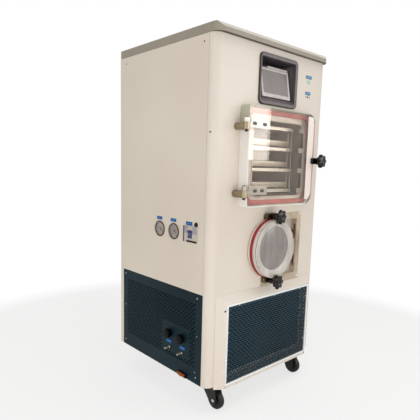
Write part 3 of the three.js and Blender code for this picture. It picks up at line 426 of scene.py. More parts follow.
class Piece:
    def __init__(self, name, finish, side=front):
        self.name, self.side = name, side
        self.mesh = bmesh.new()
        self.finishes = [finish]
        self.face = 0

    def use(self, finish):
        if finish not in self.finishes:
            self.finishes.append(finish)
        self.face = self.finishes.index(finish)
        return self

    def ring(self, points, out):
        return [self.mesh.verts.new(self.side.at(a, u, out)) for a, u in points]

    def add(self, corners):
        made = self.mesh.faces.new(corners)
        made.material_index = self.face
        return made

    def skin(self, rings, closed=True):
        for low, high in zip(rings, rings[1:]):
            count = len(low)
            for i in range(count if closed else count - 1):
                j = (i + 1) % count
                self.add((low[i], low[j], high[j], high[i]))

    def fill(self, loops):
        if len(loops) == 1:
            return self.add(loops[0])
        flat = [v for loop in loops for v in loop]
        for corners in geometry.tessellate_polygon([[v.co for v in loop] for loop in loops]):
            self.add([flat[k] for k in corners])

    def rings(self, outline, stages):
        # a ring of the outline for each (out, grow)
        return [self.ring(outline(grow), out) for out, grow in stages]

    def plate(self, outline, low, high, edge=0.5, holes=()):
        lip = roundedLip(low, high, edge)
        outer = self.rings(outline, lip)
        self.skin(outer)
        walls = [outer, *self.bore(holes, lip)]
        self.fill([rings[0] for rings in walls])
        self.fill([rings[-1] for rings in walls])
        return self

    def bore(self, holes, lip):
        # the walls of the holes through a sheet
        walls = [[self.ring(hole(-grow), out) for out, grow in lip] for hole in holes]
        for rings in walls:
            self.skin(rings)
        return walls

    def block(self, a0, a1, u0, u1, low, high, edge=0.5):
        return self.plate(rounded(a0, a1, u0, u1, edge * 1.01, 3), low, high, edge)

    def turn(self, profile, a=0.0, u=0.0, steps=48):
        # (radius, out) points turned about the outward line through (a, u)
        rings = [self.ring(circle(a, u, max(r, 0.002), steps)(), out) for r, out in profile]
        self.skin(rings)
        return self

    def loft(self, stages):
        # stages of (outline points, out), closed at both ends
        rings = [self.ring(points, out) for points, out in stages]
        self.skin(rings)
        self.fill([rings[0]])
        self.fill([rings[-1]])
        return self

    def line(self, finish, level):
        # another finish for the faces that lie flat at one level
        self.use(finish)
        out = self.side.axes[2]
        for face in self.mesh.faces:
            if all(abs((v.co - self.side.corner).dot(out) * 1000 - level) < 0.05 for v in face.verts):
                face.material_index = self.face
        return self

    def weld(self):
        bmesh.ops.remove_doubles(self.mesh, verts=self.mesh.verts, dist=5e-6)

    def soften(self, width, angle=25, segments=2):
        self.weld()
        self.mesh.normal_update()
        steep = math.radians(angle)
        edges = [e for e in self.mesh.edges if len(e.link_faces) == 2 and e.calc_face_angle(0) > steep]
        rounding = {"segments": segments, "affect": "EDGES", "profile": 0.6, "clamp_overlap": True}
        bmesh.ops.bevel(self.mesh, geom=edges, offset=width / 1000, **rounding)
        return self

    def done(self, body, nodes=(), slot=None, sharp=32):
        self.weld()
        bmesh.ops.dissolve_degenerate(self.mesh, dist=2e-6, edges=self.mesh.edges)
        bmesh.ops.recalc_face_normals(self.mesh, faces=self.mesh.faces)
        data = bpy.data.meshes.new(self.name)
        self.mesh.to_mesh(data)
        self.mesh.free()
        for finish in self.finishes:
            data.materials.append(finish)
        data.shade_smooth()
        data.set_sharp_from_angle(angle=math.radians(sharp))
        piece = bpy.data.objects.new(self.name, data)
        bpy.context.scene.collection.objects.link(piece)
        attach(piece, body)
        if nodes:
            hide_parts(*nodes)
        return piece


# cabinet sheets
cabinet = {
    "corner": 33, "sheet": 2, "rearWrap": 26, "rearCorner": 4, "seam": 0.9, "fold": 14, "curl": 1.3,
    "bezelHole": (5, 13, 13, 13), "grilleHole": (16, 16, 27, 16),  # inset at the left, right, low and high
    "wrapScrew": (25.15, 964),  # degrees round the corner, and height
    "leftScrews": ((563, 1273), (58, 1274)),
    "rightScrews": ((563, 1273), (58, 1274), (58, 40), (563, 40)),
}


def arc(centre, radius, start, end, steps):
    turns = [math.radians(start + (end - start) * i / steps) for i in range(steps + 1)]
    return [(centre[0] + radius * math.cos(t), centre[1] + radius * math.sin(t)) for t in turns]


def wrappedSheet(piece, corner, wrap, holes=(), steps=14):
    # a sheet folded round two upright corners, with holes in its flat middle; its ends curl in by a fold
    sheet = cabinet["sheet"]
    start = 180 - math.degrees(math.asin(max(0.0, (corner - wrap + cabinet["curl"]) / corner)))

    def path(inset):
        # across and out, from the fold inside the left edge to the start of the flat
        left, far = -halfWidth + inset, -wrap + inset
        bend = [(left + a, far + out) for a, out in ((1.2, 0.0), (0.3, 0.3), (0.0, 1.2))]
        turn = arc((-halfWidth + corner, -corner), corner - inset, start, 90, steps)
        return [(-halfWidth + cabinet["fold"], far), *bend, *turn]

    for sign in (1, -1):
        chain = path(0.0) + list(reversed(path(sheet)))
        levels = []
        for z in (0.0, height):
            levels.append([piece.mesh.verts.new(piece.side.at(sign * a, z, out)) for a, out in chain])
        piece.skin(levels, closed=False)
        piece.add((levels[0][0], levels[0][-1], levels[1][-1], levels[1][0]))
        for level in levels:
            piece.fill([level])
    flat = rounded(-halfWidth + corner, halfWidth - corner, 0.0, height)
    outer = [piece.ring(flat(), out) for out in (0.0, -sheet)]
    for k in (0, 2):
        piece.add((outer[0][k], outer[0][k + 1], outer[1][k + 1], outer[1][k]))
    walls = piece.bore(holes, roundedLip(-sheet, 0.0, 0.6))
    piece.fill([outer[0]] + [rings[0] for rings in walls])
    piece.fill([outer[1]] + [rings[-1] for rings in walls])


trapLook = {
    "bore": 95, "wall": 3, "neck": 98.3, "flange": 119, "band": 29, "recess": 24, "deep": 300, "corner": 5,
    "veil": 89, "aside": 14, "above": 7,  # the grey round of painted shade, the vessel's inside seen through the disc, and how far it sits off the middle
    "lap": 12, "groove": 6,
}
trapCentre = front.centre("trap_gasket")


def recessPath(grow, neck):
    # round the recess from the lower end of the neck's arc to the upper one, and half that arc's angle
    (a0, a1), (u0, u1), _ = front.reach("trap_surround")
    a, u = trapCentre
    band, r = trapLook["band"] - grow, trapLook["corner"] + grow
    x0, x1, z0, z1 = a0 + band, a1 - band, u0 + band, u1 - band
    reach = math.sqrt(neck ** 2 - (x0 - a) ** 2)
    corners = ((x0 + r, z0 + r, 180), (x1 - r, z0 + r, 270), (x1 - r, z1 - r, 0), (x0 + r, z1 - r, 90))
    turned = [p for x, z, start in corners for p in arc((x, z), r, start, start + 90, 5)]
    return [(x0, u - reach), *turned, (x0, u + reach)], math.degrees(math.acos((x0 - a) / neck))


def trapWindow(spread=0.0):
    # the recess beside the cold trap, run into its round neck
    def outline(grow=0.0):
        neck = trapLook["neck"] + grow
        path, bite = recessPath(spread + grow, neck)
        return path + arc(trapCentre, neck, bite, 360 - bite, 40)[1:-1]

    return outline


opening = {"left": -150, "right": 170, "bottom": 731, "top": 1026, "corner": 14, "wall": 3, "deep": 380}


def chamberHole(inset=0.0, corner=opening["corner"]):
    left, right, bottom, top = (opening[side] for side in ("left", "right", "bottom", "top"))
    return rounded(left + inset, right - inset, bottom + inset, top - inset, corner - inset, 8)


def partHole(node, inset, radius):
    (a0, a1), (u0, u1), _ = front.reach(node)
    left, right, low, high = inset
    return rounded(a0 + left, a1 - right, u0 + low, u1 - high, radius)


def frontSkin():
    corner, sheet = cabinet["corner"], cabinet["sheet"]
    holes = [
        partHole("hmi_bezel", cabinet["bezelHole"], 12),
        chamberHole(-0.3),
        trapWindow(sheet + 0.3),
        partHole("front_grille", cabinet["grilleHole"], 4),
    ]
    piece = Piece("front_skin", creamPaint)
    wrappedSheet(piece, corner, corner, holes, 18)
    piece.line(innerShadeSheet, -sheet)
    turn, up = math.radians(cabinet["wrapScrew"][0]), cabinet["wrapScrew"][1]
    across, out = halfWidth - corner + corner * math.cos(turn), corner * math.sin(turn) - corner
    for sign in (1, -1):
        piece.side = seatedSide(front.at(-sign * across, up, out), (-sign * math.cos(turn), -math.sin(turn), 0))
        sunkScrew(piece)
    piece.done("cabinet", ["front_fascia"], "cream_paint", 20)


def rearSkin():
    piece = Piece("rear_skin", creamPaint, rearSide)
    wrappedSheet(piece, cabinet["rearCorner"], cabinet["rearWrap"], steps=6)
    piece.line(innerShadeSheet, -cabinet["sheet"])
    piece.done("cabinet", ["rear_panel"], "cream_paint", 20)


def seatedSide(spot, outward):
    # a Side at a point in metres that looks out along a level direction
    return Side(spot, Vector(skyward).cross(Vector(outward)), skyward, outward)


def screwHead(piece, across, up, out, radius=2.6, sink=0.2, finish=None):
    # a small pan head
    piece.use(finish or polishedSteel)
    crown = [(0, out + 1.1 - sink), (radius * 0.3, out + 1.0 - sink), (radius * 0.75, out + 0.8 - sink)]
    piece.turn([*crown, (radius, out + 0.1), (radius, out - 0.5), (0, out - 0.5)], across, up, 16)


def sunkScrew(piece, across=0.0, up=0.0):
    # a dark screw in its recess, flush with the sheet; the recess is a flat dark disc of painted shade
    piece.use(holeShade).turn([(0, 0.05), (3.3, 0.05), (3.4, -0.4), (0, -0.4)], across, up, 16)
    screwHead(piece, across, up, 0.0, 2.3, 0.3, blackOxide)


def sidePanels():
    sheet, seam = cabinet["sheet"], cabinet["seam"]
    near, far = cabinet["corner"] + seam, depth - cabinet["rearWrap"] - seam
    ventTop = leftSide.reach("left_vent_panel")[1][1]
    holes = [circle(*leftSide.centre(f"gauge_case_{k}"), gaugeLook["body"] + 0.5, 40) for k in (1, 2)]
    (b0, b1), (c0, c1), _ = leftSide.reach("breaker_body")
    holes.append(rounded(b0 + 4, b1 - 4, c0 + 4, c1 - 4, 1, 3))
    for name, side, low, pierced in (("left", leftSide, ventTop + 0.6, holes), ("right", rightSide, 0.0, ())):
        piece = Piece(f"{name}_side_panel", sidePaint, side)
        piece.plate(rounded(near, far, low, height, 1.0, 3), -sheet, 0, 0.7, pierced)
        piece.line(innerShadeSheet, -sheet)
        for across, up in cabinet[f"{name}Screws"]:
            sunkScrew(piece, across, up)
        piece.done("cabinet", [f"{name}_panel"], "cream_paint")


# slotted sheets
slots = {"pitch": 20, "rise": 9, "long": 15.5, "tall": 4.2, "nip": 1.2}
# faces between a cell's border, points 0 to 5, and its slot's mouth, points 6 to 13
cellFaces = (
    (0, 1, 2, 7, 6), (2, 8, 7), (2, 3, 9, 8), (3, 10, 9),
    (3, 4, 5, 11, 10), (5, 12, 11), (5, 0, 13, 12), (0, 6, 13),
)


def slottedField(piece, a0, u0, columns, rows, low, high, plain):
    # brick-laid slots, each cell matched to its neighbours; plain(across, up) keeps a cell whole
    pitch, rise = slots["pitch"], slots["rise"]
    halfLong, halfTall, nip = slots["long"] / 2, slots["tall"] / 2, slots["nip"]

    def wholeCell(border):
        for out in (high, low):
            piece.add(piece.ring(border, out))

    for row in range(rows):
        z0 = u0 + row * rise
        z1, zc = z0 + rise, z0 + rise / 2
        shift = pitch / 2 if row % 2 else 0.0
        x0, x1 = (a0, a0 + pitch / 2) if row % 2 else (a0 + columns * pitch, a0 + (columns + 0.5) * pitch)
        wholeCell([(x0, z0), (x1, z0), (x1, z1), (x0, z1)])
        for column in range(columns):
            x0 = a0 + shift + column * pitch
            xc, x1 = x0 + pitch / 2, x0 + pitch
            border = [(x0, z0), (xc, z0), (x1, z0), (x1, z1), (xc, z1), (x0, z1)]
            if plain(xc, zc):
                wholeCell(border)
                continue
            l, r, b, t = xc - halfLong, xc + halfLong, zc - halfTall, zc + halfTall
            mouth = [(l + nip, b), (r - nip, b), (r, b + nip), (r, t - nip)]
            mouth += [(r - nip, t), (l + nip, t), (l, t - nip), (l, b + nip)]
            inner = []
            for out in (high, low):
                points = piece.ring(border + mouth, out)
                inner.append(points[6:])
                for corners in cellFaces:
                    piece.add([points[k] for k in corners])
            piece.skin(inner)


def slottedSheet(piece, outline, a0, u0, columns, rows, low, high, plain, edge=0.5, holes=()):
    # a sheet with a field of slots whose lower left corner is (a0, u0)
    pitch, rise = slots["pitch"], slots["rise"]
    a1, u1 = a0 + (columns + 0.5) * pitch, u0 + rows * rise
    across = [a0 + pitch / 2 * k for k in range(2 * columns + 2)]
    up = [u0 + rise * k for k in range(rows + 1)]
    field = [(a, u0) for a in across] + [(a1, u) for u in up[1:]]
    field += [(a, u1) for a in reversed(across[:-1])] + [(a0, u) for u in reversed(up[1:-1])]
    lip = roundedLip(low, high, edge)
    outer = piece.rings(outline, lip)
    piece.skin(outer)
    walls = piece.bore(holes, lip)
    piece.fill([outer[0], piece.ring(field, high)] + [rings[0] for rings in walls])
    piece.fill([outer[-1], piece.ring(field, low)] + [rings[-1] for rings in walls])
    slottedField(piece, a0, u0, columns, rows, low, high, plain)


ventLook = {
    "field": (68, 62, 24, 29),  # where the slots start, their columns and rows
    "plain": (102, 280, 78, 202),  # no slots behind the valves
    "pipeHole": (167.5, 13, 8.2),
    "screws": ((567, 25), (64, 25), (567, 345), (64, 345)),
    "smallScrews": ((69, 46), (61, 194), (567, 196)),
}


def ventPanel():
    (near, far), (low, top), _ = leftSide.reach("left_vent_panel")
    left, right, bottom, upper = ventLook["plain"]
    piece = Piece("left_vent_sheet", ventPaint, leftSide)
    outline, hole = rounded(near, far, low + 0.2, top, 1.0, 3), circle(*ventLook["pipeHole"], 24)
    plain = lambda a, u: left < a < right and bottom < u < upper
    slottedSheet(piece, outline, *ventLook["field"], -2, 0, plain, 0.6, [hole])
    for group, radius in (("screws", 3.0), ("smallScrews", 2.2)):
        for across, up in ventLook[group]:
            screwHead(piece, across, up, 0.0, radius, 0.1, capSteel)
    piece.done("cabinet", ["left_vent_panel"], "teal_paint")


grilleLook = {"field": (8, 10), "inset": 4.5, "top": (63, 278, 455), "left": (30, 206), "right": (60, 262)}


def frontGrille():
    (a0, a1), (u0, u1), (low, high) = front.reach("front_grille")
    piece = Piece("front_grille_sheet", tealPaint)
    outline, (across, up) = rounded(a0 + 0.3, a1 - 0.3, u0 + 0.3, u1 - 0.3, 1.0, 3), grilleLook["field"]
    slottedSheet(piece, outline, a0 + across, u0 + up, 24, 32, low, high, lambda a, u: False)
    inset = grilleLook["inset"]
    spots = [(a0 + along, u1 - inset) for along in grilleLook["top"]]
    spots += [(a0 + inset, u0 + along) for along in grilleLook["left"]]
    spots += [(a1 - inset, u0 + along) for along in grilleLook["right"]]
    for spot in spots:
        screwHead(piece, *spot, high, 2.6, 0.1, capSteel)
    piece.done("cabinet", ["front_grille"], "teal_paint")


frameLook = {
    "ledge": 12, "skirt": 10, "trim": 8,
    "slope": ((23, 7), (27, 4), (31, 1.8), (35, 0.5), (39, 0)),  # inward from the edge, and below the face
    "holes": ((-258.0, 308, 0, 2.6), (-267, 304, 39, 3.4)),  # across, up, turned to the left, radius
}


def lowerFrame():
    (a0, a1), (u0, u1), (back, face) = front.reach("lower_front_frame")
    (g0, g1), (h0, h1), (seat, _) = front.reach("front_grille")
    seat, skirt, ledge, trim = seat - 0.3, frameLook["skirt"], frameLook["ledge"], frameLook["trim"]
    slope = [(0, back), (0.2, back + 1.2), *((d, face - drop) for d, drop in frameLook["slope"])]
    bead = [(trim + 0.6, face), (trim, face + 0.2), (trim - 0.4, face + 0.9), (1.0, face + 1.0)]
    lining = [(0.3, face + 0.5), (0.3, seat), (-ledge, seat), (-ledge, back)]
    piece = Piece("lower_frame", creamPaint)
    rings = [piece.ring(rounded(a0 + d, a1 - d, u0 - skirt, u1 - d)(), out) for d, out in slope]
    inside = [piece.ring(rounded(g0 - d, g1 + d, h0 - d, h1 + d)(), out) for d, out in bead + lining]
    piece.skin(rings)
    piece.skin([rings[-1], inside[0]])
    # the inner bead round the grille is painted near white: a painted highlight
    piece.use(highlightTrim).skin(inside[:5])
    piece.use(creamPaint).skin([*inside[4:], rings[0]])
    for x, z, tilt, radius in frameLook["holes"]:
        turn, drop = math.radians(tilt), max(0.0, g0 - 13 - x) * 0.6
        piece.side = seatedSide(front.at(x, z, face - drop), (-math.sin(turn), -math.cos(turn), 0))
        # each hole is a dark disc of painted shade
        piece.use(holeShade).turn([(0, 0.3), (radius, 0.3), (radius + 0.2, -0.9), (0, -0.9)], 0, 0, 16)
    piece.done("cabinet", ["lower_front_frame"], "cream_paint", 30)


lidLook = {"chamfer": 16, "radius": 34, "rear": 8, "round": 1.2}


def lidSheet():
    (a0, a1), (n0, n1), (low, top) = plan.reach("lid")
    r, rear, chamfer = lidLook["radius"], lidLook["rear"], lidLook["chamfer"]
    outline = arc((a0 + r, n0 + r), r, 180, 270, 16) + arc((a1 - r, n0 + r), r, 270, 360, 16)
    outline += arc((a1 - rear, n1 - rear), rear, 0, 90, 5) + arc((a0 + rear, n1 - rear), rear, 90, 180, 5)
    line = n0 + chamfer
    piece = Piece("lid_cover", lidPaint, plan)
    base = piece.ring(outline, low)
    brow = [piece.mesh.verts.new(plan.at(a, n, top - max(0.0, line - n))) for a, n in outline]
    crown = [piece.mesh.verts.new(plan.at(a, max(n, line), top)) for a, n in outline]
    piece.skin([base, brow])
    # the chamfer band carries the painted highlight
    piece.use(lidChamferHighlight).skin([brow, crown])
    piece.use(lidPaint).fill([crown])
    piece.use(lidShade).fill([base])
    piece.soften(lidLook["round"], 22, 3)
    piece.done("cabinet", ["lid"], "lid_paint", 24)


# touch panel
bezelLook = {
    "radius": 20, "band": 16, "slim": 8,  # slim is how much narrower the left band is
    # the pocket's wall: out, how far in from the band's inner edge, and how far its sill rises
    "wall": (
        (-2, 0.3, 11), (-4, 0.4, 12.5), (-20, 0.6, 12.5),
        (-22, 2.2, 12.5), (-66, 4, 12.5), (-70, 7, 12.5),
    ),
    "lit": (9, 20, 6),  # the right wall, painted lighter for the light it catches, inward from the band at the right, low and high
}


def hmiBezel():
    (a0, a1), (u0, u1), (_, face) = front.reach("hmi_bezel")
    band, radius, slim = bezelLook["band"], bezelLook["radius"], bezelLook["slim"]
    outline, inside = rounded(a0, a1, u0, u1, radius, 10), rounded(a0 - slim, a1, u0, u1, radius, 10)
    piece = Piece("hmi_bezel_ring", bezelPlastic)
    outer = [(0.3, -1.0), (0.3, 0.0), (face - 4, 0.0), (face - 1.6, -0.7), (face - 0.4, -2.0), (face, -4.0)]
    inner = [(face, 3.0 - band), (face - 0.5, 1.2 - band), (face - 2.0, 0.2 - band), (face - 5.0, -band)]
    rings = piece.rings(outline, outer) + piece.rings(inside, inner)
    piece.use(bezelEdge).skin(rings[:5])
    piece.use(bezelPlastic).skin(rings[4:])
    pocket = []
    for out, inward, sill in ((face - 5.0, 0, 0), *bezelLook["wall"]):
        pocket.append(piece.ring(rounded(a0 - slim, a1, u0 + sill, u1, radius, 10)(-band - inward), out))
    back = [piece.ring(inside(0.5 - band), out) for out in (0.3, bezelLook["wall"][-1][0] - 1.5)]
    piece.skin(pocket[:2])
    piece.use(pocketPlastic).skin(pocket[1:])
    piece.fill([pocket[-1]])
    # the pocket's right wall is painted lighter where light falls on it: painted light
    piece.use(pocketLitWall)
    right, low, high = bezelLook["lit"]
    near, top = front.at(a1 - band - right, u0 + band + low, -1), front.at(0, u1 - band - high, 0)
    for wallFace in piece.mesh.faces:
        spot = wallFace.calc_center_median()
        if spot.x > near.x and near.z < spot.z < top.z and spot.y > near.y:
            wallFace.material_index = piece.face
    piece.use(bezelPlastic).skin([rings[0], *back])
    piece.fill([back[1]])
    piece.done("cabinet", ["hmi_bezel"], "dark_plastic", 40)


unitLook = {
    "width": 172, "height": 114, "thick": 26, "tilt": 10, "left": -80, "bottom": 1117, "border": 9, "foot": 15,
    "strip": 45,  # where the strip along the top begins
    "keys": (60, 74, 88, 102), "mount": (30, 1157, 1191),
}


def hmiUnit():
    tilt = math.radians(unitLook["tilt"])
    up, out = (0, math.sin(tilt), math.cos(tilt)), (0, -math.cos(tilt), math.sin(tilt))
    x0, w, h = unitLook["left"], unitLook["width"], unitLook["height"]
    x1, edge, foot = x0 + w, unitLook["border"], unitLook["foot"]
    piece = Piece("touch_panel", panelPlastic, Side(front.at(0, unitLook["bottom"]), east, up, out))
    window = rounded(x0 + edge, x1 - edge, foot, h - edge, 2.0, 4)
    glass = rounded(x0 + edge - 2, x1 - edge + 2, foot - 2, h - edge + 2, 2, 3)
    strip = rounded(x0 + unitLook["strip"], x1 - 3, h + 1.2, h + 8, 1.5, 3)
    piece.plate(rounded(x0, x1, 0.4, h, 3, 5), -7, 0, 1.2, [window])
    piece.plate(rounded(x0 + 4, x1 - 4, 4, h - 4, 3, 4), -unitLook["thick"], -7.2, 1.0)
    piece.use(screenGlass).plate(glass, -4, -1.4, 0.2)
    piece.use(panelPlastic).plate(strip, -11, 0.4, 0.6)
    piece.use(bezelPlastic)
    for key in unitLook["keys"]:
        piece.plate(rounded(x0 + key, x0 + key + 7, 2.8, 4.6, 0.8, 2), -0.5, 0.2, 0.15)
    piece.side = front
    mid, back = x0 + w / 2, front.reach("hmi_unit")[2][0]
    half, low, high = unitLook["mount"]
    piece.block(mid - half, mid + half, low, high, back, -31, 1.0)
    piece.done("cabinet", ["hmi_unit"], "panel_plastic", 40)


# labels, lamp and small marks; places are across and up
markLook = {
    "frontLabels": ((211, 1227, 42, 14), (209.5, 1161, 37, 14)),
    "sideLabels": (
        (309, 630, 36, 13), (217, 630, 36, 13), (120, 627, 38, 14),
        (235, 122, 34, 13), (147, 119, 34, 13),
    ),
    "lamp": (199, 222, 1203, 1214),
    "dots": ((197.5, 3.0), (210, 4.6), (222.5, 3.0)), "dotsUp": 1146,
    "plug": (79, 626),
}


def labels(name, side, blue, places, inset, half):
    # blue plates with a pale stripe; inset is its distance from their ends, and half is half its height
    piece = Piece(name, blue, side)
    for a, u, w, h in places:
        stripe = rounded(a - w / 2 + inset, a + w / 2 - inset, u - half, u + half, 0.6, 2)
        piece.use(blue).plate(rounded(a - w / 2, a + w / 2, u - h / 2, u + h / 2, 1.2, 3), 0.02, 0.45, 0.15)
        piece.use(labelPale).plate(stripe, 0.3, 0.55, 0.05)
    piece.done("cabinet", sharp=40)


def stickers():
    labels("front_labels", front, labelBlue, markLook["frontLabels"], 9, 1.8)
    lamp = Piece("front_lamp", lampGreen)
    lamp.plate(rounded(*markLook["lamp"], 5, 6), 0.02, 2.2, 1.0)
    lamp.use(blackPlastic)
    for a, r in markLook["dots"]:
        lamp.turn([(0, 0.9), (r * 0.6, 0.8), (r, 0.1), (0, 0.02)], a, markLook["dotsUp"], 16)
    lamp.done("cabinet", sharp=40)
    labels("side_labels", leftSide, sideBlue, markLook["sideLabels"], 8, 1.4)
    plug = Piece("cable_plug", blackPlastic, leftSide)
    dome = [(0, 9), (3.4, 8.4), (5.6, 6.4), (6.6, 3.4), (6.8, 1.6), (9.2, 1.2), (9.6, 0.02), (0, 0.02)]
    plug.turn(dome, *markLook["plug"], 32)
    plug.done("cabinet", sharp=40)


# gauges
gaugeLook = {"bezel": 32.5, "body": 30, "dial": 27.8, "sink": 8, "ticks": 21, "sweep": 270, "start": 225}


def turned(a, u, degrees, points):
    # points given as (along, aside), turned about (a, u)
    c, s = math.cos(math.radians(degrees)), math.sin(math.radians(degrees))
    return [(a + x * c - y * s, u + x * s + y * c) for x, y in points]


def pressureGauge(k):
    a, u = leftSide.centre(f"gauge_case_{k}")
    face = leftSide.reach(f"gauge_case_{k}")[2][1]
    r, body, sight, start = (gaugeLook[key] for key in ("bezel", "body", "dial", "start"))
    dial = face - gaugeLook["sink"]
    case = Piece(f"gauge_{k}_case", gaugeRing, leftSide)
    rim = [(sight, dial - 1), (sight + 0.1, face - 2.0), (sight + 0.6, face - 0.6), (sight + 1.4, face)]
    rim += [(r - 1.6, face - 0.1), (r - 0.5, face - 0.8), (r, face - 1.8), (r, 0.9), (r - 0.4, 0.3)]
    case.turn([*rim, (body, 0.3), (body, -33), (body - 3, -34), (6, -34), (6, -50), (0, -50)], a, u, 64)
    paper = [(0, dial - 0.9), (sight + 0.05, dial - 0.9), (sight, dial - 2), (0, dial - 2)]
    case.use(dialPaper).turn(paper, a, u, 64)
    case.use(dialInk)
    low, high, last = dial - 0.95, dial - 0.7, gaugeLook["ticks"] - 1
    for i in range(last + 1):
        near, half = (18.0, 0.7) if i % 5 == 0 else (20.5, 0.4)
        mark = ((near, -half), (24.0, -half), (24.0, half), (near, half))
        mark = turned(a, u, start - gaugeLook["sweep"] * i / last, mark)
        case.loft([(mark, low), (mark, high)])
    for line in (24.6, 8.4):
        case.turn([(line, low), (line, high), (line + 0.6, high), (line + 0.6, low), (line, low)], a, u, 64)
    case.done("cabinet", [f"gauge_case_{k}"], "bright_steel", 40)
    glass = Piece(f"gauge_{k}_glass", gaugeGlass, leftSide)
    pane = [(0, face - 1.2), (r * 0.5, face - 1.3), (sight, face - 1.6), (sight, face - 2.8), (0, face - 2.6)]
    glass.turn(pane, a, u, 48)
    glass.done("cabinet", slot="clear_acrylic", sharp=40)
    hand = Piece(f"gauge_{k}_hand", dialInk, leftSide)
    low, high = leftSide.reach(f"gauge_pointer_{k}")[2]
    blade = turned(a, u, start, ((-8, -2.2), (21, -0.5), (21, 0.5), (-8, 2.2)))
    hand.loft([(blade, low + 0.2), (blade, high - 0.2)])
    hand.turn([(0, high + 0.2), (3.2, high + 0.1), (4, high - 0.4), (4, low), (0, low)], a, u, 24)
    hand.done(f"gauge_pointer_{k}", [f"gauge_pointer_{k}"], "black_plastic", 40)


# breaker
breakerLook = {"rim": 3, "drum": 13, "tab": 24, "length": 20, "patch": 25, "tilt": 28, "axleOut": -7.0}


def breakerPieces():
    (a0, a1), (u0, u1), (low, face) = leftSide.reach("breaker_body")
    rim, half, patch = breakerLook["rim"], breakerLook["length"] / 2, breakerLook["patch"] / 2
    a0, a1, u0, u1 = a0 + rim, a1 - rim, u0 + rim, u1 - rim
    a, u = (a0 + a1) / 2, (u0 + u1) / 2
    mouth = rounded(a - half - 0.6, a + half + 0.6, u - 9.6, u + 9.6, 0.8, 3)
    piece = Piece("breaker_housing", breakerPlastic, leftSide)
    piece.plate(rounded(a0 - rim, a1 + rim, u0 - rim, u1 + rim, 3, 5), 0.3, face, 0.8, [mouth])
    piece.plate(rounded(a0 + 0.3, a1 - 0.3, u0 + 0.3, u1 - 0.3, 1, 3), low, 0.2, 0.4, [mouth])
    for x0, x1 in ((a0 - 1.5, a - patch - 0.6), (a + patch + 0.6, a1 + 1.5)):
        piece.use(breakerGrey).plate(rounded(x0, x1, u + 3, u1 + 1.6, 1, 3), face - 0.2, face + 0.5, 0.2)
    blue = rounded(a - patch, a + patch, u - 15.5, u + 15.5, 1.2, 3)
    # a dark strip along the rear end is painted shade on the frame's thickness
    dark = rounded(a1 - 4.5, a1 + 2.6, u0 - 2.4, u1 + 2.4, 1, 3)
    foot = rounded(a0 - 2.6, a1 - 19, u0 - 2.8, u0 + 4.6, 0.8, 3)
    piece.use(togglePlastic).plate(blue, face - 0.2, face + 0.8, 0.3, [mouth])
    piece.use(bezelPlastic).plate(dark, face - 0.1, face + 0.9, 0.25)
    piece.use(blackPlastic).plate(foot, face - 0.2, face + 1.2, 0.3)
    piece.done("cabinet", ["breaker_body"], "panel_plastic", 40)
    # the lever's outline lies in height and out, and runs along the depth
    toggle = Piece("breaker_handle", togglePlastic, Side(leftSide.corner, skyward, (-1, 0, 0), north))
    drum, tab, tilt = breakerLook["drum"], breakerLook["tab"], math.radians(breakerLook["tilt"])
    c, s, axle = math.cos(tilt), math.sin(tilt), breakerLook["axleOut"]
    nose = [(-2.0, drum - 1), (-2.0, tab - 1.2), (-0.8, tab), (0.8, tab), (2.0, tab - 1.2), (2.0, drum - 1)]
    nose = [(u + up * c + out * s, axle - up * s + out * c) for up, out in nose]
    body = arc((u, axle), drum, 0, 360, 40)[:-1]
    toggle.loft([(body, a - half), (body, a + half)])
    toggle.loft([(nose, a - half + 1), (nose, a + half - 1)])
    toggle.soften(0.5, 40, 2)
    toggle.done("breaker_toggle", ["breaker_toggle"], "dark_plastic", 40)


# valves and drains
fluteLook = {"count": 8, "deep": 1.6, "steps": 96}


def wavyRing(piece, a, u, out, steps, reach):
    # a ring about (a, u) whose radius is reach(angle)
    turns = [2 * math.pi * i / steps for i in range(steps)]
    return piece.ring([(a + reach(t) * math.cos(t), u + reach(t) * math.sin(t)) for t in turns], out)


def threads(crest, crestOut, root, rootOut, pitch, count):
    rows = []
    for k in range(count):
        rows += [(crest, crestOut + pitch * k), (root, rootOut + pitch * k)]
    return rows


def valveAndDrain(k):
    (a0, a1), _, (_, face) = leftSide.reach(f"valve_knob_{k}")
    (a, u), r = leftSide.centre(f"valve_knob_{k}"), (a1 - a0) / 2
    knob = Piece(f"valve_{k}_handle", valveBlack, leftSide)
    profile = [(0, face), (6, face - 0.1), (r - 3.2, face - 0.6), (r - 1.4, face - 1.6), (r - 0.3, face - 3.2)]
    profile += [(r, face - 6), (r, 7), (r - 0.8, 5.6), (r - 4, 2.2), (r - 4, 0.4), (4, 0.4), (4, -29), (0, -29)]
    rings = []
    for radius, out in profile:
        deep = fluteLook["deep"] if radius > r - 3.4 and out > 4 else 0.0
        flute = lambda t: deep * max(0.0, math.cos(fluteLook["count"] * t)) ** 3
        reach = lambda t: max(radius, 0.002) - flute(t)
        rings.append(wavyRing(knob, a, u, out, fluteLook["steps"], reach))
    knob.skin(rings)
    knob.use(blackPhenolic).plate(rounded(a - 0.6, a + 0.6, u + 4, u + 11, 0.4, 2), face - 0.6, face, 0.1)
    knob.done(f"valve_knob_{k}", [f"valve_knob_{k}"], "black_plastic", 40)
    tip = leftSide.reach(f"drain_nozzle_{k}")[2][1]
    drain = Piece(f"drain_{k}", drainBrass, leftSide)
    barbs = [(2.4, tip - 0.3), (2.7, tip), (3.5, tip - 0.3)]
    for step in (1, 2, 3):
        top = tip - 4.5 * step
        barbs += [(4.1, top + 0.4), (4.1, top), (3.6, top - 0.2)]
    barbs += [(3.6, 3.4), (4.6, 3.2), (5.0, 2.6), (5.0, 0.5), (4, 0.4), (4, -23), (2.4, -23), (2.4, tip - 0.3)]
    drain.turn(barbs, *leftSide.centre(f"drain_nozzle_{k}"), 32)
    drain.done("cabinet", [f"drain_nozzle_{k}"], "bright_steel", 40)


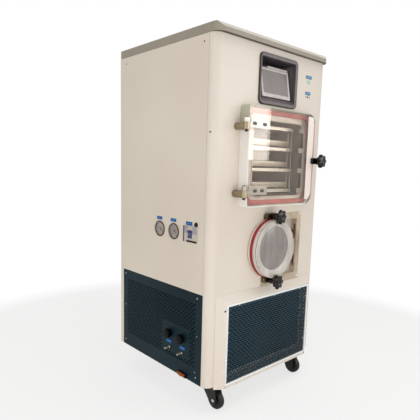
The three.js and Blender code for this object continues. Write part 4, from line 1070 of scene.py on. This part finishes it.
def sweptTube(piece, points, radius, steps=24):
    # rings of a round tube along points given in metres
    rings = []
    for k, spot in enumerate(points):
        ahead = points[min(k + 1, len(points) - 1)] - points[max(k - 1, 0)]
        turn = ahead.to_track_quat("Z", "Y")
        around = [Vector((a, u, 0)) / 1000 for a, u in circle(0, 0, radius, steps)()]
        rings.append([piece.mesh.verts.new(spot + turn @ v) for v in around])
    return rings


stubLook = {"bend": 14, "wall": 1.2, "into": 20}


def copperStub():
    (a0, a1), (u0, u1), (_, face) = leftSide.reach("copper_pipe")
    u, r, bend = (u0 + u1) / 2, (u1 - u0) / 2, stubLook["bend"]
    corner, out = a1 - r - bend, face - r
    spots = [(a0, u, out), (corner, u, out)]
    for i in range(1, 9):
        t = math.pi / 2 * i / 8
        spots.append((corner + bend * math.sin(t), u, out - bend + bend * math.cos(t)))
    spots.append((a1 - r, u, -stubLook["into"]))
    points = [leftSide.at(*spot) for spot in spots]
    piece = Piece("copper_stub", copperTube, leftSide)
    rings, inner = sweptTube(piece, points, r), r - stubLook["wall"]
    lip = sweptTube(piece, points[:2], inner)
    bore = [lip[0], sweptTube(piece, [points[0].lerp(points[1], 0.8), points[1]], inner)[0]]
    piece.skin(rings)
    piece.fill([rings[-1]])
    piece.skin([rings[0], *bore])
    piece.fill([bore[-1]])
    piece.done("cabinet", ["copper_pipe"], "copper", 40)
    collar = Piece("copper_collar", copperTube, Side(leftSide.at(0, u, out), skyward, east, north))
    band = [(r, 22), (r + 0.9, 22.6), (r + 1.1, 24), (r + 1.1, 33), (r + 0.9, 34.4), (r, 35)]
    collar.turn([(radius, a0 + along) for radius, along in band], 0, 0, 24)
    collar.done("cabinet", slot="copper", sharp=40)


# drying chamber
chamberLook = {
    "corners": (10, 38, 38, 8), "mouth": 36, "lip": 11.5, "greenAbove": 1004,
    "gasketCorner": 40, "gasketInset": 5, "gasketWide": 18, "gasketRound": 32,
    "rim": ((0, 7.0), (1.6, 6.0), (3.2, 4.6), (3.6, 2.8), (2.6, 1.0), (0, 0.0), (-4, -0.2)),  # out, grow
    "rear": ((14, 0.0), (8, -1.6), (4.2, -5.0), (3, -10.0), (3, -14.0)),  # ahead of the back, grow
}
# above this height the edges show the greenish painted reflection, below it the near white one
doorEdge = slabEdge(front.at(0, chamberLook["greenAbove"], 0).z)


def dryingChamber():
    (a0, a1), (u0, u1), (gasketBack, gasketFace) = front.reach("chamber_gasket")
    flange = rounded(a0, a1, u0, u1, chamberLook["corners"], 10)
    face, back, wall, lip = gasketBack - 0.3, -opening["deep"], opening["wall"], chamberLook["lip"]
    mouth = chamberHole(wall, chamberLook["mouth"] + wall)
    piece = Piece("chamber_tank", rimSteel)
    rim = piece.rings(mouth, [(face + out, grow) for out, grow in chamberLook["rim"]])
    edge = piece.rings(flange, ((face, -2.6), (lip - 0.5, -2.4), (lip, -1.8)))
    piece.fill([edge[0], rim[0]])
    piece.skin(rim)
    piece.skin(edge)
    side = [edge[-1], *piece.rings(flange, ((lip, -0.7), (lip - 0.5, -0.1), (lip - 1.2, 0.0), (0.3, 0.0)))]
    piece.use(doorEdge).skin(side)
    deep = [(-12, 0.0), (-60, 0.0)] + [(back + ahead, grow) for ahead, grow in chamberLook["rear"]]
    inside = [rim[-1], *piece.rings(chamberHole(wall), deep)]
    # the inside walls carry the chamber's painted shade
    piece.use(chamberShadeSteel).skin(inside)
    piece.fill([inside[-1]])
    shell = piece.rings(chamberHole(), ((0.3, 0.0), (back + 9, 0.0), (back + 3, -3.0), (back, -9.0)))
    piece.fill([side[-1], shell[0]])
    piece.skin(shell)
    piece.fill([shell[-1]])
    piece.done("cabinet", ["chamber_shell"], "stainless", 40)

    inset, corner = chamberLook["gasketInset"], chamberLook["gasketCorner"]
    outside = rounded(a0 + inset, a1 - inset, u0 + inset, u1 - inset, corner, 10)
    inset += chamberLook["gasketWide"]
    inside = rounded(a0 + inset, a1 - inset, u0 + inset, u1 - inset, chamberLook["gasketRound"], 10)
    seal = Piece("chamber_seal", rosySilicone).plate(outside, gasketBack, gasketFace, 1.8, [inside])
    seal.done("cabinet", ["chamber_gasket"], "red_silicone", 50)


rackLook = {"post": 4.5, "levels": (752, 836, 920, 1002), "rod": 103, "bracket": (-2, 13)}


def shelfRack():
    (a0, a1), (u0, u1), (back, face) = front.reach("shelf_rack")
    post, levels = rackLook["post"], rackLook["levels"]
    x0, x1 = a0 + post - 1, a1 - post + 1
    rack = Piece("shelf_stack", plateSteel)
    screw = [(0, face + 0.9), (2.4, face + 0.8), (2.9, face + 0.2), (0, face + 0.1)]
    for level in levels:
        rack.use(plateSteel).block(x0, x1, level - 5, level + 5, back, face, 0.9)
        rack.block(x0, x1, level - 6, level + 7, face - 2.6, face + 0.4, 0.6)
        rack.use(polishedSteel)
        for x in (x0 + 18, x1 - 18):
            rack.turn(screw, x, level, 16)
    for x in (x0 - post + 1, x1 - 1):
        for deep in (back + 6, face - post - 6):
            rack.block(x, x + post, u0, u1, deep, deep + post, 0.6)
    rack.side = plan
    low, high = levels[0], levels[-1]
    rack.use(barSteel).turn([(0, low), (1.3, low), (1.3, high), (0, high)], rackLook["rod"], -face - 1.6, 16)
    rack.side = lying
    wall, (near, far) = opening["right"] - opening["wall"], rackLook["bracket"]
    bolt = [(0, wall - 9.6), (1.8, wall - 9.4), (2.2, wall - 8.6), (2.2, wall - 7), (0, wall - 7)]
    for level in levels:
        bracket = rounded(near, far, level - 10, level + 9, 2, 4)
        # the brackets are painted near white: a painted highlight
        rack.use(highlightTrim).plate(bracket, wall - 8.4, wall - 0.4, 0.5)
        rack.use(barSteel).turn(bolt, 6, level, 16)
    rack.done("cabinet", ["shelf_rack"], "stainless", 30)


trayLook = {"wall": 1.6, "lift": 8, "runners": (26, 34)}


def dryingTray(k):
    (a0, a1), (low, top), (back, face) = front.reach(f"tray_{k}")
    base, wall, near, far = low + trayLook["lift"], trayLook["wall"], -face, -back
    pan = Piece(f"drying_tray_{k}", traySteel, plan)
    outside = [(base, -6.0), (base, -4.0), (base + 0.8, -1.2), (base + 3, -0.3)]
    outside += [(top - 3, 0.0), (top - 0.6, 0.0), (top, -0.6)]
    inside = [(top, 0.6), (top - 0.6, 0.8), (base + 4, 0.9), (base + 2.4, 2.2)]
    inside += [(base + 1.8, 5), (base + 1.8, 8)]
    rings = pan.rings(rounded(a0, a1, near, far, 12, 5), outside + [(up, -wall - grow) for up, grow in inside])
    pan.skin(rings)
    pan.fill([rings[0]])
    pan.fill([rings[-1]])
    left, right = trayLook["runners"]
    for x in (a0 + left, a1 - right):
        pan.block(x, x + 8, near + 34, far - 30, low, base + 0.6, 0.4)
    pan.done("cabinet", [f"tray_{k}"], "stainless", 40)


doorLook = {"corners": (10, 40, 40, 8), "edge": 1.6, "margin": 50, "rim": 10, "marginCorners": (4, 30, 16, 4)}


def chamberDoor():
    (a0, a1), (u0, u1), (back, face) = front.reach("chamber_door")
    edge, margin, rim = doorLook["edge"], doorLook["margin"], doorLook["rim"]
    slab = Piece("door_slab", doorClear)
    rings = slab.rings(rounded(a0, a1, u0, u1, doorLook["corners"], 14), roundedLip(back, face, edge))
    slab.fill([rings[0]])
    slab.fill([rings[-1]])
    slab.use(doorEdge).skin(rings)
    # a pale margin of painted reflection down the latch side, with a rosy line of painted refraction of the seal
    # along its rim
    low, high = u0 + edge, u1 - edge
    reflected = rounded(a1 - margin, a1 - rim, low + 20, high - 10, doorLook["marginCorners"], 8)
    line = rounded(a1 - rim, a1 - edge, low + 34, high - 34, 1, 3)
    slab.use(marginReflection).plate(reflected, face + 0.02, face + 0.4, 0.1)
    slab.use(sealRefraction).plate(line, face + 0.02, face + 0.4, 0.1)
    slab.done("door", ["chamber_door"], "clear_acrylic", 50)


# door hinges; places are across and up
hingeLook = {
    "pin": -218, "pinOut": 50, "radius": 13, "bore": 4.4, "leaf": 4,
    "lower": {"up": 746, "screws": (-160, -120), "finish": leafSteel},
    "upper": {"up": 991, "screws": (-176, -120), "finish": upperLeafHighlight},
}


def doorHinge(which):
    x, out, r, bore = (hingeLook[key] for key in ("pin", "pinOut", "radius", "bore"))
    own, thick = hingeLook[which], hingeLook["leaf"]
    z = own["up"]
    post = Piece(f"hinge_{which}_post", barSteel)
    stem = [(0, 0.4), (r - 0.6, 0.4), (r + 0.2, 1.2), (r + 0.4, 2.4), (r + 0.4, out - 8), (r - 1.2, out - 4)]
    post.turn([*stem, (0, out - 4)], x, z, 40)
    post.side = plan
    eye = [(bore, z - r), (r - 0.8, z - r), (r, z - r + 0.8), (r, z + r - 0.8), (r - 0.8, z + r), (bore, z + r)]
    post.turn([*eye, eye[0]], x, -out, 40)
    post.done("cabinet", [f"hinge_post_{which}"], "stainless", 40)
    p0, p1 = plan.reach(f"hinge_pin_{which}")[2]
    pin = Piece(f"hinge_{which}_pin", blackOxide, plan)
    shank = [(0, p0), (3, p0 + 0.2), (4.6, p0 + 1.4), (6, p0 + 4), (5.6, p0 + 7.6), (3.9, p0 + 8), (3.9, p1 - 3.1)]
    cap = [(5.6, p1 - 3), (6, p1 - 2.4), (6, p1 - 0.8), (5.2, p1), (0, p1)]
    pin.turn(shank + cap, x, -out, 32)
    pin.done("cabinet", [f"hinge_pin_{which}"], "bright_steel", 40)
    (_, right), (low, top), _ = front.reach(f"hinge_leaf_{which}")
    (doorLeft, _), _, (_, doorFace) = front.reach("chamber_door")
    back = doorFace + 0.3
    head = back + thick
    leaf = Piece(f"hinge_{which}_leaf", own["finish"])
    leaf.plate(rounded(doorLeft - 1, right, low, top, 3, 5), back, head, 0.6)
    leaf.block(x + 6, doorLeft + 4, top - 16, top, back, head, 0.4)
    leaf.side = plan
    knuckle = [(bore, top - 16), (8.4, top - 16), (9, top - 15.4), (9, top - 0.6), (8.4, top), (bore, top)]
    leaf.turn([*knuckle, knuckle[0]], x, -out, 32)
    leaf.side = front
    screw = [(0, head + 0.9), (2.6, head + 0.8), (3.6, head + 0.4), (3.8, head), (0, head - 0.2)]
    for spot in own["screws"]:
        up = (low + top) / 2 - 1
        slot = rounded(spot - 12, spot + 12, up - 6, up + 6, 5.9, 8)
        # each slot is a flat dark oval of painted shade, not an opening
        leaf.use(slotShade).plate(slot, head - 0.4, head + 0.12, 0.1)
        leaf.use(blackOxide).turn(screw, spot + 2, up, 20)
    leaf.done("door", [f"hinge_leaf_{which}"], "bright_steel", 40)


# star knobs, latch and clamps
starLook = {"radius": 25.6, "lobe": 3, "lobes": 7, "hub": 13, "hubDeep": 9, "deep": 31, "dish": 3.6}
clampStar = {**starLook, "radius": 27, "hubDeep": 4, "deep": 19, "dish": 2.4}


def starHead(piece, a, u, back, look, steps=112):
    # a lobed head from (radius, out, share of the lobe) rows
    lobes, lobe, r, hub, dish = (look[key] for key in ("lobes", "lobe", "radius", "hub", "dish"))
    face, root = back + look["deep"], back + look["hubDeep"]
    tall = (face - root) / 22  # the rounding of the rim follows its depth
    profile = [
        (hub - 1, back, 0), (hub, back + 1, 0), (hub, root - 0.6, 0), (hub + 1.2, root, 0),
        (r - 5.5, root + 0.6, 0.5), (r - 2.5, root + 1.8 * tall + 0.2, 0.8), (r - 0.8, root + 4.2 * tall, 1),
        (r, root + 8 * tall, 1), (r, face - 8 * tall, 1), (r - 0.6, face - 4.6 * tall, 1),
        (r - 2.4, face - 1.9 * tall - 0.2, 0.9), (r - 5.5, face - 0.5, 0.6), (r - 9, face, 0.25),
        (hub, face + 0.6, 0), (hub - 0.6, face + 1.0, 0), (hub - 1.6, face + 0.4, 0),
        (hub - 3.5, face - dish * 0.6, 0), (5, face - dish * 0.95, 0), (0.002, face - dish, 0),
    ]
    rings = []
    for radius, out, share in profile:
        reach = lambda t: radius + lobe * share * math.cos(lobes * t)
        rings.append(wavyRing(piece, a, u, out, steps, reach))
    piece.skin(rings)
    piece.fill([rings[0]])


def sleeve(piece, bore, back, high, a, u):
    # the black sleeve behind a knob, from its back end up into the plate that it stands on
    wall = [(bore, back), (12.2, back), (13, back + 0.8), (13, high), (bore, high), (bore, back)]
    piece.use(blackPhenolic).turn(wall, a, u, 40)


latchLook = {"across": 226, "up": 878, "plate": (11, 17, 6), "screws": 13.5, "threads": 6, "boltThreads": 9}


def doorLatch():
    x, z = latchLook["across"], latchLook["up"]
    wide, tall, seat = latchLook["plate"]
    face = front.reach("latch_boss")[2][1]
    boss = Piece("latch_socket", polishedSteel)
    boss.plate(rounded(x - wide, x + wide, z - tall, z + tall, 4, 5), 0.3, seat, 0.8)
    thread = threads(11.6, 6.4, 10.4, 7.3, 1.9, latchLook["threads"])
    mouth = [(11.2, face - 0.4), (10.6, face), (6.4, face), (6.4, 5.8), (11.2, 5.8)]
    boss.turn([(11.2, 5.8), *thread, *mouth], x, z, 40)
    for up in (z - latchLook["screws"], z + latchLook["screws"]):
        screwHead(boss, x - 3, up, 6.0, 2.2, 0.1)
    ring = [(11.7, face - 7), (12.6, face - 6.8), (13, face - 6.2), (13, face - 0.8)]
    boss.use(blackPhenolic).turn([*ring, (12.4, face - 0.1), (11.2, face - 0.1)], x, z, 40)
    boss.done("cabinet", ["latch_boss"], "bright_steel", 40)
    (a0, a1), (u0, u1), (back, out) = front.reach("latch_arm")
    arm = Piece("latch_bar", blackPhenolic)
    armBack = front.reach("chamber_door")[2][1] + 0.3
    arm.plate(rounded(a0, a1, u0, u1, 8, 6), armBack, out, 1.6)
    sleeve(arm, 6.3, back, armBack + 0.6, x, z)
    arm.done("door", ["latch_arm"], "black_plastic", 40)
    low, knobBack = front.reach("latch_knob")[2][0], out + 0.3
    knob = Piece("latch_star_knob", blackPhenolic)
    starHead(knob, x, z, knobBack, starLook)
    thread = threads(5.9, low + 2, 5.2, low + 3, 2.0, latchLook["boltThreads"])
    bolt = [(0, low), (4.8, low), (5.8, low + 1), *thread, (5.8, knobBack + 2), (0, knobBack + 2)]
    knob.use(polishedSteel).turn(bolt, x, z, 24)
    knob.done("latch_knob", ["latch_knob"], "black_plastic", 40)


clampLook = {"halfWidth": 31, "halfHeight": 12, "face": 17.7, "bolts": 21, "pitch": 2.2}


def trapClamp(which):
    x, z = front.centre(f"clamp_post_{which}")
    high = front.reach(f"clamp_post_{which}")[2][1]
    w, h, face, bolts, pitch = (clampLook[key] for key in ("halfWidth", "halfHeight", "face", "bolts", "pitch"))
    post = Piece(f"clamp_{which}_bracket", oliveSteel)
    holes = [circle(x + s * bolts, z, 4.2, 24) for s in (-1, 1)]
    post.plate(rounded(x - w, x + w, z - h, z + h, 3, 5), face - 5, face, 0.7, holes)
    post.plate(rounded(x - w + 3, x + w - 3, z - h + 2, z + h - 2, 2, 4), 2.6, face - 5.2, 0.6)
    post.use(blackOxide)
    head = [(0, face + 2.6), (3.4, face + 2.4), (3.9, face + 1.8), (3.9, face - 4), (0, face - 4)]
    for s in (-1, 1):
        post.turn(head, x + s * bolts, z, 6)
    thread = threads(5.0, face + 0.8, 4.2, face + 1.9, pitch, int((high - face) / pitch) - 1)
    post.turn([(4.2, face - 1), *thread, (4.2, high - 0.4), (0, high)], x, z, 24)
    post.done("cabinet", [f"clamp_post_{which}"], "bright_steel", 40)
    (a0, a1), (u0, u1), (back, out) = front.reach(f"clamp_dog_{which}")
    armBack = front.reach("trap_disc")[2][1] + 0.3
    dog = Piece(f"clamp_{which}_dog", oliveSteel)
    dog.plate(rounded(a0, a1, u0, u1, 7, 6), armBack, out, 1.0)
    sleeve(dog, 5.4, back, armBack + 0.6, x, z)
    dog.done(f"clamp_dog_{which}", [f"clamp_dog_{which}"], "black_plastic", 40)
    knob = Piece(f"clamp_{which}_star_knob", blackPhenolic)
    starHead(knob, x, z, out + 0.3, clampStar)
    knob.done(f"clamp_knob_{which}", [f"clamp_knob_{which}"], "black_plastic", 40)


# the cold trap behind its round clear disc
recessLook = {
    "bolts": (62, -72), "boltIn": 37,  # up from the middle, and in from the right edge
    # thin dark red patches of painted reflection and shade, up from the middle, and in from the right edge
    "patches": ((30, 96), (-92, -40)), "patchIn": (31, 29),
}


def trapFrame():
    (a0, a1), (u0, u1), (_, face) = front.reach("trap_surround")
    neck, recess, sheet = trapLook["neck"], trapLook["recess"], cabinet["sheet"]
    bed, mid = sheet - recess, (u0 + u1) / 2
    piece = Piece("trap_frame", frameSteel)
    piece.plate(rounded(a0, a1, u0, u1, 4, 5), 0.3, face, 0.5, [trapWindow()])
    inner, bite = recessPath(0.2, neck)
    wall = inner + list(reversed(recessPath(sheet, neck)[0]))
    piece.use(recessSteel).loft([(wall, 0.25), (wall, -recess)])
    floor = recessPath(0.5, neck)[0] + arc(trapCentre, neck, bite, -bite, 40)[1:-1]
    piece.loft([(floor, bed), (floor, 0.3 - recess)])
    for up in (u0 + 8, u1 - 8):
        screwHead(piece, a1 - 5, up, face, 2.6, 0.2)
    piece.use(blackOxide)
    bolt = [(0, bed + 12), (5, bed + 11.6), (6.4, bed + 10.6), (6.4, bed), (0, bed)]
    for up in recessLook["bolts"]:
        piece.turn(bolt, a1 - recessLook["boltIn"], mid + up, 6)
    # the patches paint the seal's reflection and the shade beside the disc
    piece.use(gasketReflectionPatch)
    left, right = recessLook["patchIn"]
    for low, high in recessLook["patches"]:
        piece.block(a1 - left, a1 - right, mid + low, mid + high, -10, -3, 0.4)
    piece.done("cabinet", ["trap_surround"], "stainless", 30)


saddles = {"halfWidth": 60, "thick": 6, "behind": (90, 240)}


def trapVessel():
    low = front.reach("trap_gasket")[2][0]
    face, r, wall, end = low - 0.3, trapLook["bore"], trapLook["wall"], -trapLook["deep"]
    rim = trapLook["flange"] - 2
    vessel = Piece("trap_vessel_tank", polishedSteel)
    flange = [(r + 14, face), (rim - 0.4, face), (rim - 0.1, face - 0.2), (rim, face - 0.6), (rim, face - 1.7)]
    tank = [(rim - 0.2, face - 2), (r + wall, face - 2), (r + wall, end + 4), (r + wall - 1, end + 1)]
    vessel.turn([*flange, *tank, (r - 1, end), (0, end)], *trapCentre, 96)
    lip = [(r + 14, face), (r + 3, face), (r + 1.4, face - 0.2), (r + 0.4, face - 1.0), (r, face - 2.6)]
    vessel.turn([*lip, (r, face - 8)], *trapCentre, 96)
    inside = [(r, face - 8), (r, end + 12), (r - 1.2, end + 7), (r - 4, end + 4), (r - 9, end + wall)]
    vessel.use(trapSteel).turn([*inside, (0, end + wall)], *trapCentre, 96)
    a, seat, w, under = trapCentre[0], plan.reach("trap_vessel")[2][0], saddles["halfWidth"], r + 1.5
    sweep = math.degrees(math.asin(w / under))
    cradle = [(a - w, seat), (a + w, seat)] + arc(trapCentre, under, 270 + sweep, 270 - sweep, 16)
    for behind in saddles["behind"]:
        vessel.use(zincSheet).loft([(cradle, -behind), (cradle, -behind - saddles["thick"])])
    vessel.done("cabinet", ["trap_vessel"], "stainless", 35)


def trapCover():
    low, high = front.reach("trap_gasket")[2]
    (a0, a1), _, (back, face) = front.reach("trap_disc")
    (a, u), r, lap, flange = trapCentre, (a1 - a0) / 2, trapLook["lap"], trapLook["flange"]
    # the seal's red lip laps the disc, and its pale skirt hides the edge of the flange
    seal = Piece("trap_seal", redSilicone)
    outer, inner, top, skirt = flange + 3, flange - 12, back + lap, low - 2.0
    lip = [(outer - 0.2, back - 1), (outer, back - 0.2), (outer, top - 1.6), (outer - 0.8, top - 0.3)]
    lip += [(outer - 2, top), (r + 0.3, top - 0.6), (r + 0.3, high), (inner + 0.6, high), (inner, high - 0.8)]
    seal.turn([*lip, (inner, low + 0.8), (inner + 0.6, low), (flange - 1.4, low)], a, u, 96)
    hem = [(flange - 1.4, low), (flange - 1.4, skirt), (outer - 0.9, skirt), (outer - 0.4, skirt + 0.6)]
    seal.use(creamPaint).turn([*hem, (outer - 0.2, back - 1)], a, u, 96)
    seal.done("cabinet", ["trap_gasket"], "red_silicone", 50)

    disc = Piece("trap_window", trapShadeVeil)
    # the grey round is painted shade of the vessel's inside, set off for parallax; the pale ring round it is a
    # painted reflection of the rim
    veil = circle(a - trapLook["aside"], u + trapLook["above"], trapLook["veil"], 96)
    shifted = disc.rings(veil, ((face, 0), (face - 0.5, 0.8), (face - 0.5, 2.2), (face, 3)))
    disc.fill([shifted[0]])
    disc.use(trapReflectionVeil).skin([*shifted, disc.ring(circle(a, u, r - 5.6, 96)(), face)])
    line = [(r - 5.6, face), (r - 5.4, face - 0.7), (r - 4.2, face - 0.7), (r - 4.0, face), (r - 1.7, face)]
    disc.turn(line, a, u, 96)
    edge = [(r - 1.7, face), (r - 0.3, face - 1.3), (r, face - 2.0), (r, back + 1.2), (r - 0.3, back + 0.4)]
    disc.use(clearMilled).turn([*edge, (r - 0.9, back)], a, u, 96)
    disc.use(trapReflectionVeil).turn([(r - 0.9, back), (0, back)], a, u, 96)
    groove = face - trapLook["groove"]
    wire = [(r - 0.4, groove), (r + 0.25, groove - 0.1), (r + 0.25, groove - 1.9), (r - 0.4, groove - 2)]
    disc.use(oliveSteel).turn([*wire, wire[0]], a, u, 96)
    disc.done("cabinet", ["trap_disc"], "clear_acrylic", 40)


# casters
casterLook = {
    "front": (250, 66), "rear": (140, 62),  # from the middle, and in from the cabinet's front or rear
    "trail": 38, "axleZ": -77.5, "radius": 37.5, "wide": 26, "plate": (34, 32), "bolts": (26, 24),
    "caps": {"front_left": capSteel},
}


def casterFork(where, x, centre, axle):
    w, (wide, long), (boltA, boltN) = casterLook["wide"] / 2, casterLook["plate"], casterLook["bolts"]
    fork = Piece(f"caster_{where}_fork", casterPaint, plan)
    fork.plate(rounded(x - wide, x + wide, centre - long, centre + long, 5, 5), -4.3, -0.3, 0.8)
    bolt = [(0, -8.2), (3.2, -8.0), (4.4, -7.2), (4.6, -4.2), (0, -4.2)]
    race = [(0, -4.2), (24, -4.2), (26, -5.2), (26, -8.2), (24.6, -9.4), (22.4, -9.9), (0, -9.9)]
    crown = [(0, -9.7), (23, -9.7), (25.2, -10.6), (25.6, -12.6), (24.4, -15.4), (0, -15.4)]
    for da, dn in ((-boltA, -boltN), (boltA, -boltN), (-boltA, boltN), (boltA, boltN)):
        fork.use(zincSheet).turn(bolt, x + da, centre + dn, 6)
    fork.turn(race, x, centre, 40)
    fork.use(casterPaint).turn(crown, x, centre, 40)
    cheek = [(centre + 31, -15), (centre + 29, -34), (axle + 27, -82), (axle + 22, -92), (axle + 10, -98.5)]
    cheek += [(axle - 4, -98), (axle - 11, -93), (axle - 14, -84), (axle - 16, -63.5), (axle - 13, -48)]
    cheek += [(axle - 4, -30), (axle + 4, -20), (centre - 22, -15)]
    fork.side = lying
    for low in (x - w - 5.5, x + w + 1.5):
        fork.loft([(cheek, low), (cheek, low + 4)])
    # the bridge between the cheeks follows the wheel a little way down at the back
    bridge = [(-22, -15), (30, -15), (24, -29), (21.4, -28.4), (26, -18), (-20, -18)]
    bridge = [(centre + n, z) for n, z in bridge]
    fork.loft([(bridge, x - w - 5.4), (bridge, x + w + 5.4)])
    fork.soften(0.5, 30, 2)
    fork.done(f"fork_{where}", [f"caster_fork_{where}"], "caster_steel", 35)


def casterWheel(where, x, axle):
    r, w, axleZ = casterLook["radius"], casterLook["wide"] / 2, casterLook["axleZ"]
    wheel = Piece(f"caster_{where}_wheel", rubberTread, lying)
    tread = [(r - 9, w - 1.2), (r - 4.6, w - 0.9), (r - 2.6, w - 1.6), (r - 0.8, w - 4.2), (r, w - 8)]
    tread += [(radius, -out) for radius, out in reversed(tread)]
    core = [(r - 9, 1.2 - w), (r - 9.6, 2.4 - w), (r - 12, 3.0 - w), (16, 4.6 - w), (13.6, 3.2 - w)]
    core += [(12.6, 0.2 - w), (7.8, 0.0 - w)]
    cap = [(7, w + 5.6), (7, w + 6.4), (6.4, w + 7.4), (4.6, w + 8.2), (0, w + 8.4)]
    wheel.turn([(radius, x + out) for radius, out in tread], axle, axleZ, 64)
    wheel.use(casterPaint)
    for sense in (1, -1):
        wheel.turn([(radius, x + sense * out) for radius, out in core], axle, axleZ, 64)
    wheel.turn([(7.8, x - w), (7.8, x + w)], axle, axleZ, 64)
    wheel.use(casterLook["caps"].get(where, casterPaint))
    for sense in (1, -1):
        inner = (0, x + sense * (w + 5.6))
        wheel.turn([inner, *((radius, x + sense * out) for radius, out in cap)], axle, axleZ, 32)
    bolt = [(0, x - w - 5.7), (4.6, x - w - 5.7), (4.6, x + w + 5.7), (0, x + w + 5.7)]
    wheel.turn(bolt, axle, axleZ, 24)
    wheel.done(f"wheel_{where}", [f"caster_wheel_{where}"], "caster_tread", 35)


def allCasters():
    (frontX, fromFront), (rearX, fromRear) = casterLook["front"], casterLook["rear"]
    for end, x, centre in (("front", frontX, fromFront), ("rear", rearX, depth - fromRear)):
        axle = centre - casterLook["trail"]
        for hand, sign in (("left", -1), ("right", 1)):
            casterFork(f"{end}_{hand}", sign * x, centre, axle)
            casterWheel(f"{end}_{hand}", sign * x, axle)


for make in (frontSkin, rearSkin, sidePanels, ventPanel, frontGrille, lowerFrame, lidSheet):
    make()
print("cabinet sheets made")
for make in (hmiBezel, hmiUnit, stickers):
    make()
for k in (1, 2):
    pressureGauge(k)
    valveAndDrain(k)
breakerPieces()
copperStub()
print("controls made")
dryingChamber()
shelfRack()
for k in (1, 2, 3):
    dryingTray(k)
chamberDoor()
for which in ("lower", "upper"):
    doorHinge(which)
    trapClamp(which)
for make in (doorLatch, trapFrame, trapVessel, trapCover, allCasters):
    make()
print("chamber, trap and casters made")

# the condenser and the deck take the painted shade of the cabinet's inside
machinery = {
    "compressor": machinePaint,
    "condenser": innerShadeSheet,
    "condenser_fan": blackPlastic,
    "machine_deck": innerShadeSheet,
    "base_tray": zincSheet,
}
for node, finish in machinery.items():
    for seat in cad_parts[node].material_slots:
        seat.material = finish


# the room: a dome, a floor that fades to white, and soft boxes, each (power, size, place, what it faces)
studio = {
    "dome": 0.52,
    "white": (1, 1, 1, 1),
    "floor": (244, 243, 241),
    "fade": (0.9, 1.8),
    "lift": 0.7,
    "below": 0.0002,
    "boxes": {
        "front_box": (4.0, (1.5, 1.2), (0.3, -2.7, 0.9), (0, 0, 0.7)),
        "low_box": (13.0, (1.6, 1.0), (-0.5, -2.7, 0.55), (0, 0, 0.5)),
        "side_box": (15.0, (1.6, 1.6), (-2.6, -0.9, 1.0), (0, 0, 0.75)),
        "top_box": (20.0, (1.6, 1.6), (0, -0.7, 3.2), (0, -0.1, 0)),
        "gloss_card": (36.0, (1.40, 1.08), (1.211, -1.954, 1.575), (1.211, 0, 1.575)),
    },
    "onlyMirrored": "gloss_card",  # for the sheen on the door
}


def onlySeen(f):
    # 1 for what the camera, glossy and glass rays meet
    rays = ("Is Camera Ray", "Is Glossy Ray", "Is Transmission Ray")
    seen = [f.node("ShaderNodeLightPath", output=name) for name in rays]
    return f.maths("MAXIMUM", f.maths("MAXIMUM", seen[0], seen[1]), seen[2])


def makeRoom():
    dome = bpy.data.worlds.new("studio dome")
    bpy.context.scene.world = dome
    f = Finish("dome", dome)
    strength = onlySeen(f) * (1 - studio["dome"]) + studio["dome"]
    sky = f.node("ShaderNodeBackground", None, {"Color": studio["white"], "Strength": strength})
    f.output(sky, "ShaderNodeOutputWorld")

    f = Finish("studio floor")
    x, y = f.axis(0), f.axis(1)
    away = (x * x + y * y) ** 0.5
    plain = f.surface(colour=paint(*studio["floor"]), rough=0.7, shine=0.1)
    white = f.node("ShaderNodeEmission", None, {"Color": studio["white"], "Strength": 1.0})
    near, far = studio["fade"]
    share = f.maths("MAXIMUM", f.limit(away, near, far), studio["lift"]) * onlySeen(f)
    material = f.mixed(share, plain, white)
    floor = bmesh.new()
    bmesh.ops.create_grid(floor, x_segments=8, y_segments=8, size=9)
    data = bpy.data.meshes.new("studio_floor")
    floor.to_mesh(data)
    floor.free()
    data.materials.append(material)
    ground = bpy.data.objects.new("studio_floor", data)
    bpy.context.scene.collection.objects.link(ground)
    ground.location.z = cadBounds[0][2] - studio["below"]
    ground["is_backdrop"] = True


def softBox(name, power, size, spot, toward):
    lamp = bpy.data.lights.new(name, "AREA")
    lamp.shape, lamp.size, lamp.size_y, lamp.energy = "RECTANGLE", *size, power
    holder = bpy.data.objects.new(name, lamp)
    holder.location = spot
    holder.rotation_euler = (Vector(toward) - Vector(spot)).to_track_quat("-Z", "Y").to_euler()
    holder.visible_camera = False
    holder.visible_diffuse = name != studio["onlyMirrored"]
    bpy.context.scene.collection.objects.link(holder)


view = {
    "spot": (-1.3739, -1.39225, 0.9542), "yaw": 42.32, "pitch": -8.31, "roll": 1.52,
    "lens": 37.19, "sensor": 36, "shift": (0.0105, 0.0497), "end": 60,
}


def makeCamera():
    yaw, pitch, roll = (math.radians(view[key]) for key in ("yaw", "pitch", "roll"))
    ahead = Vector((math.sin(yaw) * math.cos(pitch), math.cos(yaw) * math.cos(pitch), math.sin(pitch)))
    level = Vector((math.cos(yaw), -math.sin(yaw), 0))
    above = level.cross(ahead)
    right = math.cos(roll) * level + math.sin(roll) * above
    up = math.cos(roll) * above - math.sin(roll) * level
    lens = bpy.data.cameras.new("camera")
    lens.lens, lens.sensor_width, lens.clip_end = view["lens"], view["sensor"], view["end"]
    lens.shift_x, lens.shift_y = view["shift"]
    camera = bpy.data.objects.new("camera", lens)
    turn = Matrix((right, up, -ahead)).transposed().to_4x4()
    camera.matrix_world = Matrix.Translation(view["spot"]) @ turn
    bpy.context.scene.collection.objects.link(camera)
    bpy.context.scene.camera = camera


makeRoom()
for name, box in studio["boxes"].items():
    softBox(name, *box)
makeCamera()
bpy.context.scene.view_settings.view_transform = "Standard"
print("room, lights and camera made")

sizes = {"cad": cadBounds, "visual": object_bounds()}
sizes = {name: [list(corner) for corner in bounds] for name, bounds in sizes.items()}
